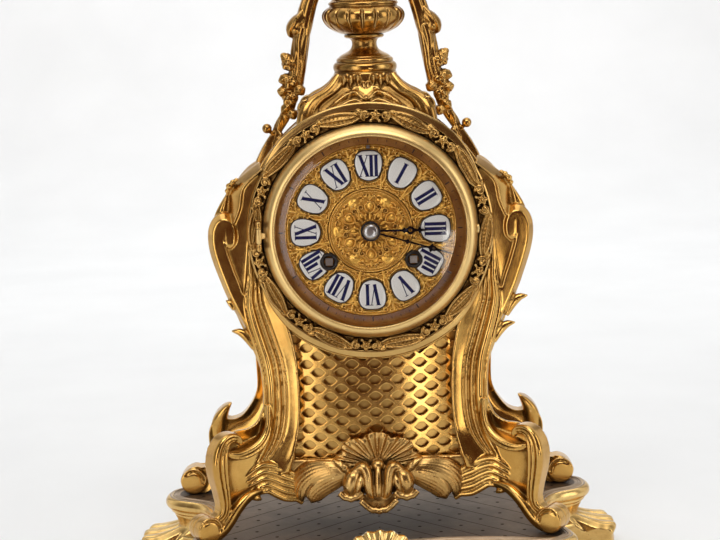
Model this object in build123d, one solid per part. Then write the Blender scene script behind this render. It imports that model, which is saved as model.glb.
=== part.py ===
from build123d import *
import math
import os

os.makedirs("parts", exist_ok=True)

# ------------------------------------------------------------------ driving dimensions (mm)
# X right, Y away from the viewer, Z up; origin at the bottom centre of the base
ZD = 218.0            # height of the dial centre
ZB = 42.0             # top of the base
Y_FRONT = -32.0       # front face of the case
T_FRONT = 5.0         # thickness of the case front
Y_BACK = 69.0         # inner face of the case back
T_BACK = 3.0
R_DRUM = 72.0         # drum behind the dial
T_DRUM = 3.0
R_FRONT = 74.0        # round part of the case front
R_HOLE = 58.0         # opening for the dial
Y_URN = 20.0          # vertical axis of the urn
Z_TOP = 408.0         # tip of the finial
HALF_W = 150.0        # foot tip to centre
HALF_D = 82.0         # front/back reach of the feet
T_SIDE = 3.0
R_STUD = 2.0          # studs that hold the case on the base
PIVOT_GAP = 0.15      # radial play of every pivot
TOOTH_THIN = 0.12     # tooth thinning that gives backlash
ADD_W, ADD_P = 0.70, 0.90     # wheel and pinion addendum (modules)
BEZEL_AXIS = (-64.2, -43.8)   # vertical hinge axis of the bezel (x, y)
DOOR_AXIS = (62.0, 77.0)      # vertical hinge axis of the rear door (x, y)
HOUR_ANGLE, MINUTE_ANGLE = 90.7, 107.0   # hand positions, clockwise from twelve
WIND_X, WIND_Z = 24.5, -17.5             # winding arbors from the dial centre
Y_P1, Y_P2 = -20.0, -17.0     # front movement plate
Y_P3, Y_P4 = 16.0, 19.0       # back movement plate
R_PLATE = 52.0


# ------------------------------------------------------------------ helpers
def smooth(pts, k=4, closed=False):
    n = len(pts)
    out = []
    for i in range(n if closed else n - 1):
        p = [pts[(i + j) % n] if closed else pts[min(max(i + j, 0), n - 1)] for j in (-1, 0, 1, 2)]
        for s in range(k):
            t = s / k
            out.append(tuple(
                0.5 * (2 * p[1][c] + (p[2][c] - p[0][c]) * t
                       + (2 * p[0][c] - 5 * p[1][c] + 4 * p[2][c] - p[3][c]) * t * t
                       + (3 * p[1][c] - p[0][c] - 3 * p[2][c] + p[3][c]) * t ** 3) for c in (0, 1)))
    if not closed:
        out.append(tuple(pts[-1]))
    return out


def inset(pts, d, closed=True):
    n = len(pts)
    out = []
    for i in range(n):
        a = pts[(i - 1) % n] if closed else pts[max(i - 1, 0)]
        b = pts[(i + 1) % n] if closed else pts[min(i + 1, n - 1)]
        tx, ty = b[0] - a[0], b[1] - a[1]
        ln = math.hypot(tx, ty)
        out.append((pts[i][0] - ty / ln * d, pts[i][1] + tx / ln * d))
    return out


def mirror_half(half):
    return half + [(-x, y) for x, y in reversed(half) if abs(x) > 1e-6]


def prism(pts, y0, y1):
    pl = Plane(origin=(0, y1, 0), x_dir=(1, 0, 0), z_dir=(0, -1, 0))
    return extrude(pl * make_face(Polyline(*pts, close=True)), amount=y1 - y0)


def slab(face, z0, z1):
    return extrude(Plane.XY.offset(z0) * face, amount=z1 - z0)


def rod(x, z, r, y0, y1):
    return Pos(x, (y0 + y1) / 2, z) * Rot(90, 0, 0) * Cylinder(r, y1 - y0)


def post(x, y, r, z0, z1):
    return Pos(x, y, (z0 + z1) / 2) * Cylinder(r, z1 - z0)


def block(x0, x1, y0, y1, z0, z1):
    return Pos((x0 + x1) / 2, (y0 + y1) / 2, (z0 + z1) / 2) * Box(x1 - x0, y1 - y0, z1 - z0)


def turned_z(prof, x, y):
    return Pos(x, y, 0) * revolve(Plane.XZ * make_face(Polyline(*prof, close=True)), axis=Axis.Z)


def turned_y(prof, x, z):
    return Pos(x, 0, z) * revolve(make_face(Polyline(*prof, close=True)), axis=Axis.Y)


def flip(obj):
    return mirror(obj, about=Plane.YZ)


def save(name, obj):
    export_step(obj if isinstance(obj, Compound) else Compound(children=list(obj.solids())), "parts/%s.step" % name)


def gear_outline(n, m, add, ded, k):
    pa = math.radians(20)
    r = n * m / 2
    rb, ra, rf = r * math.cos(pa), r + add * m, r - ded * m
    inv = lambda a: math.tan(a) - a
    base = (math.pi * m / 2 - TOOTH_THIN) / (2 * r) + inv(pa)
    r0 = max(rb, rf)
    flank = []
    for i in range(k + 1):
        rr = r0 + (ra - r0) * i / k
        flank.append((rr, base - inv(math.acos(min(1.0, rb / rr)))))
    h0 = min(flank[0][1], math.pi / n * 0.93)
    out = []
    for t in range(n):
        c = 2 * math.pi * t / n
        if rf < r0 - 1e-6:
            out.append((rf, c - h0))
        out += [(rr, c - h) for rr, h in flank] + [(rr, c + h) for rr, h in reversed(flank)]
        if rf < r0 - 1e-6:
            out.append((rf, c + h0))
    return out


def toothed(outline, x, z, phase, y0, y1):
    return prism([(x + r * math.cos(a + phase), z + r * math.sin(a + phase)) for r, a in outline], y0, y1)


def wheel(n, m, at, towards, y0, y1):
    """wheel with a tooth on the line of centres"""
    ph = math.atan2(towards[1] - at[1], towards[0] - at[0])
    return toothed(gear_outline(n, m, ADD_W, ADD_P + 0.25, 2), at[0], at[1], ph, y0, y1)


def pinion(n, m, at, towards, y0, y1):
    """pinion with a gap on the line of centres"""
    ph = math.atan2(towards[1] - at[1], towards[0] - at[0]) + math.pi / n
    return toothed(gear_outline(n, m, ADD_P, ADD_W + 0.3, 3), at[0], at[1], ph, y0, y1)


def spokes(at, r_in, r_out, n, w, y0, y1, turn=0.0):
    """windows between the crossings of a wheel"""
    cut = rod(at[0], at[1], r_out, y0 - 1, y1 + 1) - rod(at[0], at[1], r_in, y0 - 2, y1 + 2)
    for i in range(n):
        a = turn + 180.0 * i / n if n % 2 == 0 else turn + 360.0 * i / n
        bar = Pos(at[0], (y0 + y1) / 2, at[1]) * Rot(0, a, 0) * (
            Box(2 * r_out + 2, y1 - y0 + 6, w) if n % 2 == 0 else Pos(r_out / 2 + 1, 0, 0) * Box(r_out + 2, y1 - y0 + 6, w))
        cut = cut - bar
    return cut


def meet(p, r, q, s, side):
    """one of the two points at r from p and s from q"""
    dx, dy = q[0] - p[0], q[1] - p[1]
    d = math.hypot(dx, dy)
    a = (r * r - s * s + d * d) / (2 * d)
    h = math.sqrt(r * r - a * a) * side
    return (p[0] + a * dx / d - h * dy / d, p[1] + a * dy / d + h * dx / d)


# ------------------------------------------------------------------ base
base_half = [(0, -74), (40, -70), (70, -72), (98, -78), (113, -66), (112, -50), (104, -25), (102, 0),
             (110, 25), (128, 38), (135, 52), (131, 68), (115, 76), (80, 78), (0, 80)]
base_pts = mirror_half(base_half)


def base_face(d):
    return make_face(Spline(*inset(base_pts, d), periodic=True))


base_plinth = (slab(base_face(0), 34, ZB) + slab(base_face(3), 30, 34) + slab(base_face(8), 20, 30)
               + slab(base_face(4), 16, 20))
base_plinth = base_plinth - slab(base_face(12), 10, 39) - slab(base_face(6), 39, 50)

front_stud = (58 + 0.8630 * 43, -34 - 0.5052 * 43)
rear_stud = (113.0, 57.0)
stud_xy = [front_stud, (-front_stud[0], front_stud[1]), rear_stud, (-rear_stud[0], rear_stud[1])]
base_top_plate = slab(base_face(6), 39, ZB)
for sx, sy in stud_xy:
    base_top_plate = base_top_plate - post(sx, sy, R_STUD + 0.1, 30, 50)

rear_foot_pts = smooth([(104, 16), (112, 29), (124, 35.5), (136, 34), (145, 27), (150.5, 16), (150.3, 7), (145, 1.4),
                        (139, 0)], 4) + smooth([(125, 0), (119, 3), (114, 9), (107, 12)], 3)
foot_taper = slab(make_face(Polyline((96, 44), (120, 43), (140, 47), (150, 54), (150, 68), (143, 77), (130, HALF_D), (100, HALF_D), close=True)), 0, 60)
rear_foot = prism(rear_foot_pts, 40, HALF_D + 2) & foot_taper
front_foot_pts = smooth([(-12, 16), (-3, 28), (8, 35), (20, 34), (29, 27), (34, 16), (34.2, 7), (30, 1.4), (25, 0)], 4) \
    + smooth([(11, 0), (5, 3), (0, 9), (-8, 12)], 3)
foot_plane = Plane(origin=(97, -57, 0), x_dir=(0.7071, -0.7071, 0), z_dir=(-0.7071, -0.7071, 0))
front_foot = extrude(foot_plane * make_face(Polyline(*front_foot_pts, close=True)), amount=12, both=True)
front_foot = front_foot & block(60, 149, -HALF_D, 0, 0, 60)
base_solid = slab(base_face(0), 34, ZB) + slab(base_face(3), 30, 34) + slab(base_face(8), 20, 30) + slab(base_face(4), 16, 20)
front_foot = front_foot - base_solid
rear_foot = rear_foot - base_solid


def main_solid(obj):
    return max(obj.solids(), key=lambda s: s.volume)


front_foot, rear_foot = main_solid(front_foot), main_solid(rear_foot)
base_feet = Compound(children=[front_foot, flip(front_foot), rear_foot, flip(rear_foot)])

shell_half = [(0, 15), (7, 17.5), (13, 22), (22, 25), (29, 31), (25, 37), (20, 40), (19, 45), (13, 50), (7, 52), (0, 52.6)]
base_shell_mount = prism(smooth(mirror_half(shell_half), 3, closed=True), -81.4, -66) - base_solid
base_shell_mount = base_shell_mount & (post(0, -81.4 + 70, 70, 0, 80))
base_shell_mount = main_solid(base_shell_mount)

nuts = []
for sx, sy in stud_xy:
    nut = slab(Pos(sx, sy) * RegularPolygon(4.0, 6), 35, 39) - post(sx, sy, R_STUD, 30, 40)
    nuts.append(main_solid(nut))
base_nuts = Compound(children=nuts)

# ------------------------------------------------------------------ case
front_edge = [(66, 192), (61, 185), (58, 170), (57, 158), (52, 138), (50, 123), (53, 100), (58, 88), (58.5, 70)]
front_right = smooth(front_edge, 3)
body_pts = front_right + [(-x, z) for x, z in reversed(front_right)]
case_front = rod(0, ZD, R_FRONT, Y_FRONT, Y_FRONT + T_FRONT) + prism(body_pts, Y_FRONT, Y_FRONT + T_FRONT)
R_WINDOW = 76.0


def window_pts(grow_side, gap):
    r = R_WINDOW + gap
    right = [(49.0 + grow_side, 160.0), (46.6 + grow_side, 146), (44.6 + grow_side, 130), (44.5 + grow_side, 122),
             (45.2 + grow_side, 108), (47.0 + grow_side, 95), (49.0 + grow_side, 83 + gap)]
    right = smooth(right, 3)
    right[0] = (right[0][0], ZD - math.sqrt(r * r - right[0][0] ** 2))
    a1 = math.asin(right[0][0] / r)
    top = [(r * math.sin(a1 * t / 8), ZD - r * math.cos(a1 * t / 8)) for t in range(-7, 8)]
    return [(-x, z) for x, z in reversed(right)] + top + right


case_front = case_front - rod(0, ZD, R_HOLE, -50, 0) - prism(window_pts(0, 0), -50, 0)

trellis_radius = (44.2 ** 2 + 5.4 ** 2) / (2 * 5.4)
bow = lambda x: -27 - (math.sqrt(trellis_radius ** 2 - x * x) - (trellis_radius - 5.4))
bow_x = [44.2 - 88.4 * i / 16 for i in range(17)]
bow_front = [(52, -27)] + [(x, bow(x)) for x in bow_x] + [(-52, -27)]
bow_rear = [(x, y + 2.0) for x, y in reversed(bow_front)]
trellis_blank = slab(make_face(Polyline(*(bow_front + bow_rear), close=True)), 75, 170) & prism(window_pts(2.8, 0.3), -50, 0)
CELL_W, CELL_H = 13.3, 9.7
HOLE_W, HOLE_H = 7.6, 5.6
cuts = []
for row in range(-9, 10):
    for col in range(-5, 6):
        cx = col * CELL_W + (CELL_W / 2 if row % 2 else 0.0)
        cz = 120.0 + row * CELL_H / 2
        half_w = 44.4 + 4.5 * ((cz - 122) / 40) ** 2
        if abs(cx) > half_w - 7.0 or cz < 89.5 or cz > ZD - math.sqrt(R_WINDOW ** 2 - cx * cx) - 6.0:
            continue
        cuts.append(prism([(cx - HOLE_W / 2, cz), (cx, cz + HOLE_H / 2), (cx + HOLE_W / 2, cz), (cx, cz - HOLE_H / 2)], -40, -20))
trellis_panel = trellis_blank - cuts
backing_half = [(0, 81), (51, 81), (47, 108), (46.5, 122), (48, 140), (50, 156), (42, 150), (24, 142.4), (0, 139.5)]
trellis_backing = prism(mirror_half(backing_half), -25, -24)

R_SUR_IN, R_SUR_OUT = 62.8, 70.5
knuckle_x, knuckle_y = BEZEL_AXIS
dial_surround = turned_y([(R_SUR_IN, -32), (R_SUR_OUT, -32), (R_SUR_OUT, -34.5), (69, -37.2), (66.6, -38), (64.4, -37.2), (R_SUR_IN, -35)], 0, ZD)
dial_surround = dial_surround - block(-80, -55, -50, -20, ZD - 9.5, ZD + 9.5)
for s in (1, -1):
    z0, z1 = sorted((ZD + s * 4.3, ZD + s * 8.3))
    e0, e1 = sorted((ZD + s * 4.3, ZD + s * 10.5))
    lug = block(-66.4, -62.9, -43.8, -32, z0, z1) + block(-69.5, -63.6, -36.5, -32, e0, e1) + post(knuckle_x, knuckle_y, 2.2, z0, z1)
    dial_surround = dial_surround + lug
dial_surround = dial_surround - post(knuckle_x, knuckle_y, 1.0, ZD - 8.6, ZD + 8.6)
dial_surround = main_solid(dial_surround)

# shoulder volute, waisted scroll strand and front leg
pil_outer = [(76, 230.5), (84, 232.5), (90.5, 229.5), (94, 222), (93.6, 213), (91.5, 205), (86.4, 186), (79, 166), (74, 154),
             (66, 138), (64.5, 123), (68, 100), (73, 92)]
pil_inner = [(70, 78), (60, 76), (58.2, 88), (53, 100), (50, 123), (52, 138), (57, 158), (58, 170), (61, 185), (66.5, 196),
             (71.3, 206), (72, 218), (73, 226)]
pil_pts = smooth(pil_outer + pil_inner, 3, closed=True)
leg_plane = Plane(origin=(58, -34, 0), x_dir=(0.8630, -0.5052, 0), z_dir=(-0.5052, -0.8630, 0))
leg_top = [(-3, 90), (4, 103), (12, 98.5), (25, 97), (36, 94), (41.5, 88), (43.6, 79), (41, 70), (39.6, 63), (44, 59), (51, 57.5),
           (55.6, 51), (53.5, 44.6), (49, 42)]
leg_bottom = [(39, 42), (34, 46), (31.4, 51), (25.5, 62), (20, 71), (11, 78), (2, 83)]
leg_pts = smooth(leg_top, 3) + smooth(leg_bottom, 3)
leg = extrude(leg_plane * make_face(Polyline(*leg_pts, close=True)), amount=5, both=True)
pilaster = prism(pil_pts, -38, -26) + leg
pilaster = pilaster - case_front - rod(0, ZD, 70.7, -60, -20) - rod(80, 218, 3.2, -60, -35.5)
pilaster = pilaster - block(-20, 200, -26, 60, 0, 400)
pilaster_right = main_solid(pilaster) + post(front_stud[0], front_stud[1], R_STUD, 33.5, 42.5)
pilaster_left = flip(pilaster_right)

side_path = [(62.6, 254.6), (69, 252), (76, 247), (84, 237), (90.4, 226), (92, 212), (90, 200), (85, 185), (77.5, 166), (72.5, 154),
             (64.5, 138), (63, 123), (66, 104), (70, 92), (78, 80)]
side_out = smooth(side_path, 4)
side_in = inset(side_out, -T_SIDE, closed=False)
side_panel = prism(side_out + list(reversed(side_in)), -26, Y_BACK) - rod(0, ZD, R_DRUM, -60, 100)
side_panel_right = main_solid(side_panel)
side_panel_left = flip(side_panel_right)

case_drum = (rod(0, ZD, R_DRUM, -27, Y_BACK) - rod(0, ZD, R_DRUM - T_DRUM, -60, 100)) & block(-100, 100, -100, 100, 244, 300)
case_drum = case_drum - post(0, Y_URN, 2.1, 270, 300)

back_body = [p for p in side_out if p[1] < 247]
case_back = rod(0, ZD, R_DRUM, Y_BACK, Y_BACK + T_BACK) + prism(back_body + [(-x, z) for x, z in reversed(back_body)], Y_BACK, Y_BACK + T_BACK)
case_back = case_back - rod(0, ZD, 53, 60, 80)
door_x, door_y = DOOR_AXIS
for s in (1, -1):
    z0, z1 = sorted((ZD + s * 4.3, ZD + s * 8.8))
    case_back = case_back + block(door_x - 2.4, door_x + 2.4, 71, door_y, z0, z1) + post(door_x, door_y, 2.4, z0, z1)
case_back = case_back - post(door_x, door_y, 1.2, ZD - 9, ZD + 9)

# rear legs, splayed sideways
leg_root = [p for p in side_out if 80 < p[1] < 160]
rear_outer = smooth([(78.2, 146), (79.2, 135), (79.2, 113), (83, 101), (88, 91.5), (93.5, 97.5), (103, 93.5), (110.5, 82), (110, 71),
                     (113, 61), (120, 58.5), (127, 53), (126.5, 45), (121, 42)], 3)
rear_inner = smooth([(106, 42), (101, 48), (98, 58), (96, 70), (89, 77), (80, 80)], 3)
rear_leg = prism([(76.4, 160)] + rear_outer + rear_inner + list(reversed(leg_root)), 53, 67)
rear_leg = rear_leg - side_panel_right
rear_leg_right = main_solid(rear_leg) + post(rear_stud[0], rear_stud[1], R_STUD, 33.5, 42.5)
rear_leg_left = flip(rear_leg_right)

apron_half = [(0, 54.5), (8, 57), (14, 62), (22, 66), (33, 64), (44, 59.5), (52, 58), (54, 64), (48, 70.5), (37, 77), (27, 84),
              (21, 92), (13, 98.8), (0, 101.5)]
apron_shell = prism(smooth(mirror_half(apron_half), 3, closed=True), -48, -32) & post(0, -46 + 140, 140, 40, 110)
for i in range(-4, 5):
    a = math.radians(90 + i * 19)
    groove = Pos(0, -46.6 + 0.15 * abs(i), 72) * Rot(0, -math.degrees(a), 0) * Pos(19, 0, 0) * Rot(0, 90, 0) * Cylinder(1.5, 26)
    apron_shell = apron_shell - groove
apron_shell = main_solid(apron_shell - trellis_blank)

# ------------------------------------------------------------------ pedestal, urn, garlands
ped_w = [(41, 274), (40, 284), (38, 289), (34, 293), (24.5, 298), (20.4, 304), (19.2, 309.5), (19.2, 313.5)]
ped_d = [(33, 274), (32, 284), (30, 289), (27, 293), (22, 298), (19.6, 304), (19.2, 309.5), (19.2, 313.5)]
w_pts = smooth(ped_w, 3)
d_pts = smooth(ped_d, 3)
ped_a = prism(w_pts + [(-x, z) for x, z in reversed(w_pts)], Y_URN - 40, Y_URN + 40)
ped_plane = Plane(origin=(-60, Y_URN, 0), x_dir=(0, 1, 0), z_dir=(1, 0, 0))
ped_b = extrude(ped_plane * make_face(Polyline(*(d_pts + [(-x, z) for x, z in reversed(d_pts)]), close=True)), amount=120)
top_pedestal = (ped_a & ped_b) - rod(0, ZD, R_DRUM, -60, 100) - post(0, Y_URN, 2.1, 260, 330)

urn_foot = turned_z([(2.1, 313.5), (16.9, 313.5), (16.9, 316), (15.4, 318), (11, 320), (7.5, 322.5), (7.2, 325), (8.2, 327.5),
                     (11, 329), (11, 330), (2.1, 330)], 0, Y_URN)
urn_prof = [(2.1, 330)] + smooth([(10, 330), (18, 332), (23, 336), (24.7, 340.5), (23.6, 344.5), (20, 348), (18.2, 352), (16.2, 358),
                                  (17, 363), (19.4, 366)], 3) + [(21, 367), (21, 371), (2.1, 371)]
urn_body = turned_z(urn_prof, 0, Y_URN)
cover_prof = [(0, 371)] + smooth([(20.5, 371), (19.6, 374), (15.5, 377), (10.5, 380), (6.2, 383.5), (4.8, 386), (7, 388.5), (9, 392.5),
                                  (8.4, 397), (5.4, 402), (2.4, 406), (0.6, 407.7)], 3) + [(0, Z_TOP)]
urn_cover = turned_z(cover_prof, 0, Y_URN) - post(0, Y_URN, R_STUD, 360, 376)
urn_tie_rod = post(0, Y_URN, R_STUD, 282, 376) + slab(Pos(0, Y_URN) * RegularPolygon(5.0, 6), 282, 286.4)

garland_path = Spline((66, Y_URN, 252.5), (57, Y_URN, 273), (47.5, Y_URN, 288), (43.5, Y_URN, 305), (38.5, Y_URN, 335), (31, Y_URN, 351),
                      (24.5, Y_URN, 362), (18.5, Y_URN, 368.5))
section = Plane(origin=garland_path @ 0, z_dir=garland_path % 0) * Ellipse(3.7, 4.6)
garland = sweep(section, path=garland_path)
garland = garland + Pos(49.5, Y_URN, 286) * Sphere(6.2) + Pos(41.5, Y_URN, 322) * Sphere(5.4)
garland = garland - rod(0, ZD, R_DRUM, -60, 100) - side_panel_right - urn_body
garland_right = main_solid(garland)
garland_left = flip(garland_right)

# ------------------------------------------------------------------ bezel, glass and dial
bezel_prof = [(56.5, -32.4), (62.3, -32.4), (62.3, -38.2), (61.5, -40.8), (60.2, -42.4), (58.6, -43), (57, -42.4), (55.9, -41.2),
              (55.7, -40.4), (56.5, -40.4)]
bezel_ring = turned_y(bezel_prof, 0, ZD)
bezel_ring = bezel_ring + block(knuckle_x, -60.6, -45.0, -41.6, ZD - 4, ZD + 4) + post(knuckle_x, knuckle_y, 2.2, ZD - 4, ZD + 4)
bezel_ring = bezel_ring + block(61.6, 64.0, -39.5, -36.5, ZD - 3, ZD + 3) - block(62.6, 66, -45, -30, ZD - 20, ZD + 20)
bezel_ring = bezel_ring - post(knuckle_x, knuckle_y, 1.0 + PIVOT_GAP, ZD - 9, ZD + 9)
bezel_ring = main_solid(bezel_ring - rod(0, ZD, 55.7, -50, -30))

glass_r = (56.5 ** 2 + 6.2 ** 2) / (2 * 6.2)
gl = lambda r, y0: y0 + glass_r - math.sqrt(glass_r ** 2 - r * r)
glass_out = [(56.5 * i / 12, gl(56.5 * i / 12, -46.4)) for i in range(13)]
glass_in = [(r, y + 1.8) for r, y in reversed(glass_out)]
bezel_glass = turned_y(glass_out + glass_in, 0, ZD)

hinge_pins = Compound(children=[main_solid(post(knuckle_x, knuckle_y, 1.0, ZD - 8.5, ZD + 8.5)),
                                main_solid(post(door_x, door_y, 1.2, ZD - 8.9, ZD + 8.9))])

dial_plate = rod(0, ZD, R_HOLE, -31, -29) - rod(0, ZD, 5.0, -40, -20) - rod(0, ZD + 48.6, 1.3, -40, -20)
for s in (1, -1):
    dial_plate = dial_plate - rod(s * WIND_X, ZD + WIND_Z, 4.8, -40, -20)
for fx, fz in ((38, 30), (-38, 30), (0, -48)):
    dial_plate = dial_plate + rod(fx, ZD + fz, 2.0, -30, Y_P1)
dial_centre = turned_y([(5.3, -31), (24.5, -31), (24.5, -31.5), (23.2, -32), (21, -32), (19.5, -31.7), (8, -32.1), (5.3, -32)], 0, ZD)

cart = [(0, 8.65), (4.2, 8.2), (7.0, 6.0), (7.9, 2.4), (7.5, -1.4), (6.4, -4.6), (4.6, -7.2), (0, -8.65)]
cart_pts = smooth(mirror_half(cart), 3, closed=True)
plaques = []
for i in range(12):
    a = math.radians(30 * i)
    pts = [(x * math.cos(a) + (37.6 + y) * math.sin(a), ZD - x * math.sin(a) + (37.6 + y) * math.cos(a)) for x, y in cart_pts]
    p = prism(pts, -32.3, -31)
    for s in (1, -1):
        p = p - rod(s * WIND_X, ZD + WIND_Z, 4.9, -40, -20)
    plaques.append(main_solid(p))
enamel_plaques = Compound(children=plaques)
winding_collets = Compound(children=[main_solid(rod(s * WIND_X, ZD + WIND_Z, 4.8, -32.8, -29) - rod(s * WIND_X, ZD + WIND_Z, 3.6, -40, -20))
                                     for s in (1, -1)])


def hand(angle, widths, holes, hub_r, bore, y0, y1):
    a = math.radians(angle)
    at = lambda r, w: (r * math.sin(a) + w * math.cos(a), ZD + r * math.cos(a) - w * math.sin(a))
    side = smooth(widths, 3)
    blade = prism([at(r, w) for r, w in side] + [at(r, -w) for r, w in reversed(side)], y0, y1)
    blade = blade + rod(0, ZD, hub_r, y0, y1)
    for r, rad in holes:
        hx, hz = at(r, 0)
        blade = blade - rod(hx, hz, rad, y0 - 1, y1 + 1)
    return blade - rod(0, ZD, bore, y0 - 1, y1 + 1)


hour_hand = hand(HOUR_ANGLE, [(3, 1.2), (8, 1.2), (16.5, 1.3), (18.5, 3.3), (21.5, 4.7), (24.5, 4.2), (27, 2.2), (28.4, 1.0), (30, 1.5),
                              (32, 0.9), (34, 0.2)], [(22.0, 2.5)], 5.8, 4.2, -34.6, -33.8)
minute_hand = hand(MINUTE_ANGLE, [(3, 1.1), (6, 1.1), (18, 1.2), (20, 2.9), (23, 3.8), (26, 2.9), (28, 1.2), (33, 1.1), (35, 2.7), (37.5, 3.3),
                                  (40, 2.3), (42, 0.9), (46, 0.7), (50, 0.15)], [(23.0, 2.0), (37.5, 1.7)], 5.2, 2.5, -36.6, -35.8)
hand_nut = turned_y([(1.5, -36.6), (5.6, -36.6), (5.6, -37.1), (4.6, -37.2), (4.3, -38.2), (3.2, -39.1), (1.5, -39.5)], 0, ZD)

# ------------------------------------------------------------------ movement layout (x, z from the dial centre)
M_GREAT, M_INTER, M_CENTRE, M_THIRD, M_STRIKE = 0.451, 0.45, 0.5103, 0.4186, 0.40
M_CANNON, M_HOUR = 15.0 / 28.0, 0.5
spread = 0.03
c_great = 48 * M_GREAT + spread
c_inter = 42 * M_INTER + spread
c_centre = 36 * M_CENTRE + spread
c_third = 36 * M_THIRD + spread
c_strike = 36 * M_STRIKE + spread
c_motion = 15.0 + spread
lift = lambda p: (p[0], ZD + p[1])
A_CENTRE = lift((0, 0))
A_GOING = lift((WIND_X, WIND_Z))
A_STRIKE = lift((-WIND_X, WIND_Z))
A_INTER = max(meet(A_GOING, c_great, A_CENTRE, c_inter, 1), meet(A_GOING, c_great, A_CENTRE, c_inter, -1), key=lambda p: p[1])
A_ESC = lift((0, 24))
A_THIRD = min(meet(A_CENTRE, c_centre, A_ESC, c_third, 1), meet(A_CENTRE, c_centre, A_ESC, c_third, -1), key=lambda p: p[0])
A_ANCHOR = lift((0, 37))
A_MIN = lift((0, c_motion))
A_SEC = (-28.3, A_STRIKE[1] + math.sqrt(c_great ** 2 - 3.8 ** 2))
A_PIN = (-29.55, A_SEC[1] + math.sqrt(c_strike ** 2 - 1.25 ** 2))
A_REG = lift((0, 48.6))
A_HAMMER = lift((-40, -26))
CLICK_R, CLICK_L = lift((36.5, -8)), lift((-36.5, -8))
BELL_C = lift((0, -8))
PILLARS = [lift(p) for p in ((0, -47), (46, 5), (-46, 5), (24, 40), (-24, 40))]
print("arbors", A_INTER, A_THIRD, A_SEC, A_PIN, A_MIN)


def arbor(at, r, r_piv):
    return rod(at[0], at[1], r, Y_P2 + 0.4, Y_P3 - 0.4) + rod(at[0], at[1], r_piv, Y_P1 + 0.4, Y_P4 - 0.4)


R_ARB, R_PIV = 1.2, 0.8
small_arbors = [A_INTER, A_THIRD, A_ESC, A_SEC, A_PIN]

front_plate = rod(0, ZD, R_PLATE, Y_P1, Y_P2)
back_plate = rod(0, ZD, R_PLATE, Y_P3, Y_P4)
for p in small_arbors:
    front_plate = front_plate - rod(p[0], p[1], R_PIV + PIVOT_GAP, -30, 0)
    back_plate = back_plate - rod(p[0], p[1], R_PIV + PIVOT_GAP, 10, 30)
front_plate = front_plate - rod(0, ZD, 1.7, -30, 0) - rod(A_ANCHOR[0], A_ANCHOR[1], R_PIV + PIVOT_GAP, -30, 0)
back_plate = back_plate - rod(0, ZD, 1.0 + PIVOT_GAP, 10, 30) - rod(A_ANCHOR[0], A_ANCHOR[1], R_ARB + PIVOT_GAP, 10, 30)
for p in (A_GOING, A_STRIKE):
    front_plate = front_plate - rod(p[0], p[1], 2.5 + PIVOT_GAP, -30, 0)
    back_plate = back_plate - rod(p[0], p[1], 2.5 + PIVOT_GAP, 10, 30)
front_plate = front_plate - rod(A_REG[0], A_REG[1], 1.0 + PIVOT_GAP, -30, 0)
back_plate = back_plate - rod(A_REG[0], A_REG[1], 1.0 + PIVOT_GAP, 10, 30)
front_plate = front_plate + rod(A_MIN[0], A_MIN[1], 1.5, -28.3, -19)
for c in (CLICK_R, CLICK_L):
    front_plate = front_plate + rod(c[0], c[1], 1.2, -25.4, -19)
movement_front_plate = front_plate

bell_post = lift((18, -42))
arm = [(bell_post[0] - 2.6, bell_post[1] - 2), (bell_post[0] + 2.6, bell_post[1] + 2), (BELL_C[0] + 3.4, BELL_C[1] + 3), (BELL_C[0] - 3.4, BELL_C[1] + 1)]
back_plate = back_plate + rod(bell_post[0], bell_post[1], 2.5, 18, 59) + prism(arm, 56, 59) + rod(BELL_C[0], BELL_C[1], 4.0, 56, 59)
back_plate = back_plate + rod(BELL_C[0], BELL_C[1], 2.0, 53, 58) + rod(BELL_C[0], BELL_C[1], 4.0, 52.7, 54.2)
back_plate = back_plate + rod(A_HAMMER[0], A_HAMMER[1], 1.5, 18, 42) + rod(A_HAMMER[0], A_HAMMER[1], 2.6, 40.4, 42)
movement_back_plate = back_plate

pillars = []
for p in PILLARS:
    pillars.append(main_solid(turned_y([(0, Y_P2), (3.0, Y_P2), (3.0, -14.5), (2.2, -13.5), (2.2, -3), (3.0, -1.5), (3.0, 0.5), (2.2, 2), (2.2, 12.5),
                                        (3.0, 13.5), (3.0, Y_P3), (0, Y_P3)], p[0], p[1])))
movement_pillars = Compound(children=pillars)


def barrel(at, mate):
    b = wheel(84, M_GREAT, at, mate, -11, -8) + rod(at[0], at[1], 16.5, -8, 10) + rod(at[0], at[1], 15.2, 10, 11)
    return b - rod(at[0], at[1], 2.5 + PIVOT_GAP, -20, 20)


going_barrel = barrel(A_GOING, A_INTER)
strike_barrel = barrel(A_STRIKE, A_SEC)


def winding_arbor(at, hand_sign):
    w = rod(at[0], at[1], 2.5, -30, Y_P4 - 0.2) + block(at[0] - 2.1, at[0] + 2.1, -33, -29, at[1] - 2.1, at[1] + 2.1)
    pts = []
    for i in range(20):
        a = 2 * math.pi * i / 20
        pts += [(8.0, hand_sign * a), (6.8, hand_sign * (a + 0.05)), (7.2, hand_sign * (a + 0.17))]
    if hand_sign < 0:
        pts = list(reversed(pts))
    ratchet = prism([(at[0] + r * math.cos(a), at[1] + r * math.sin(a)) for r, a in pts], -24, -22.4)
    return w + ratchet


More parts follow.
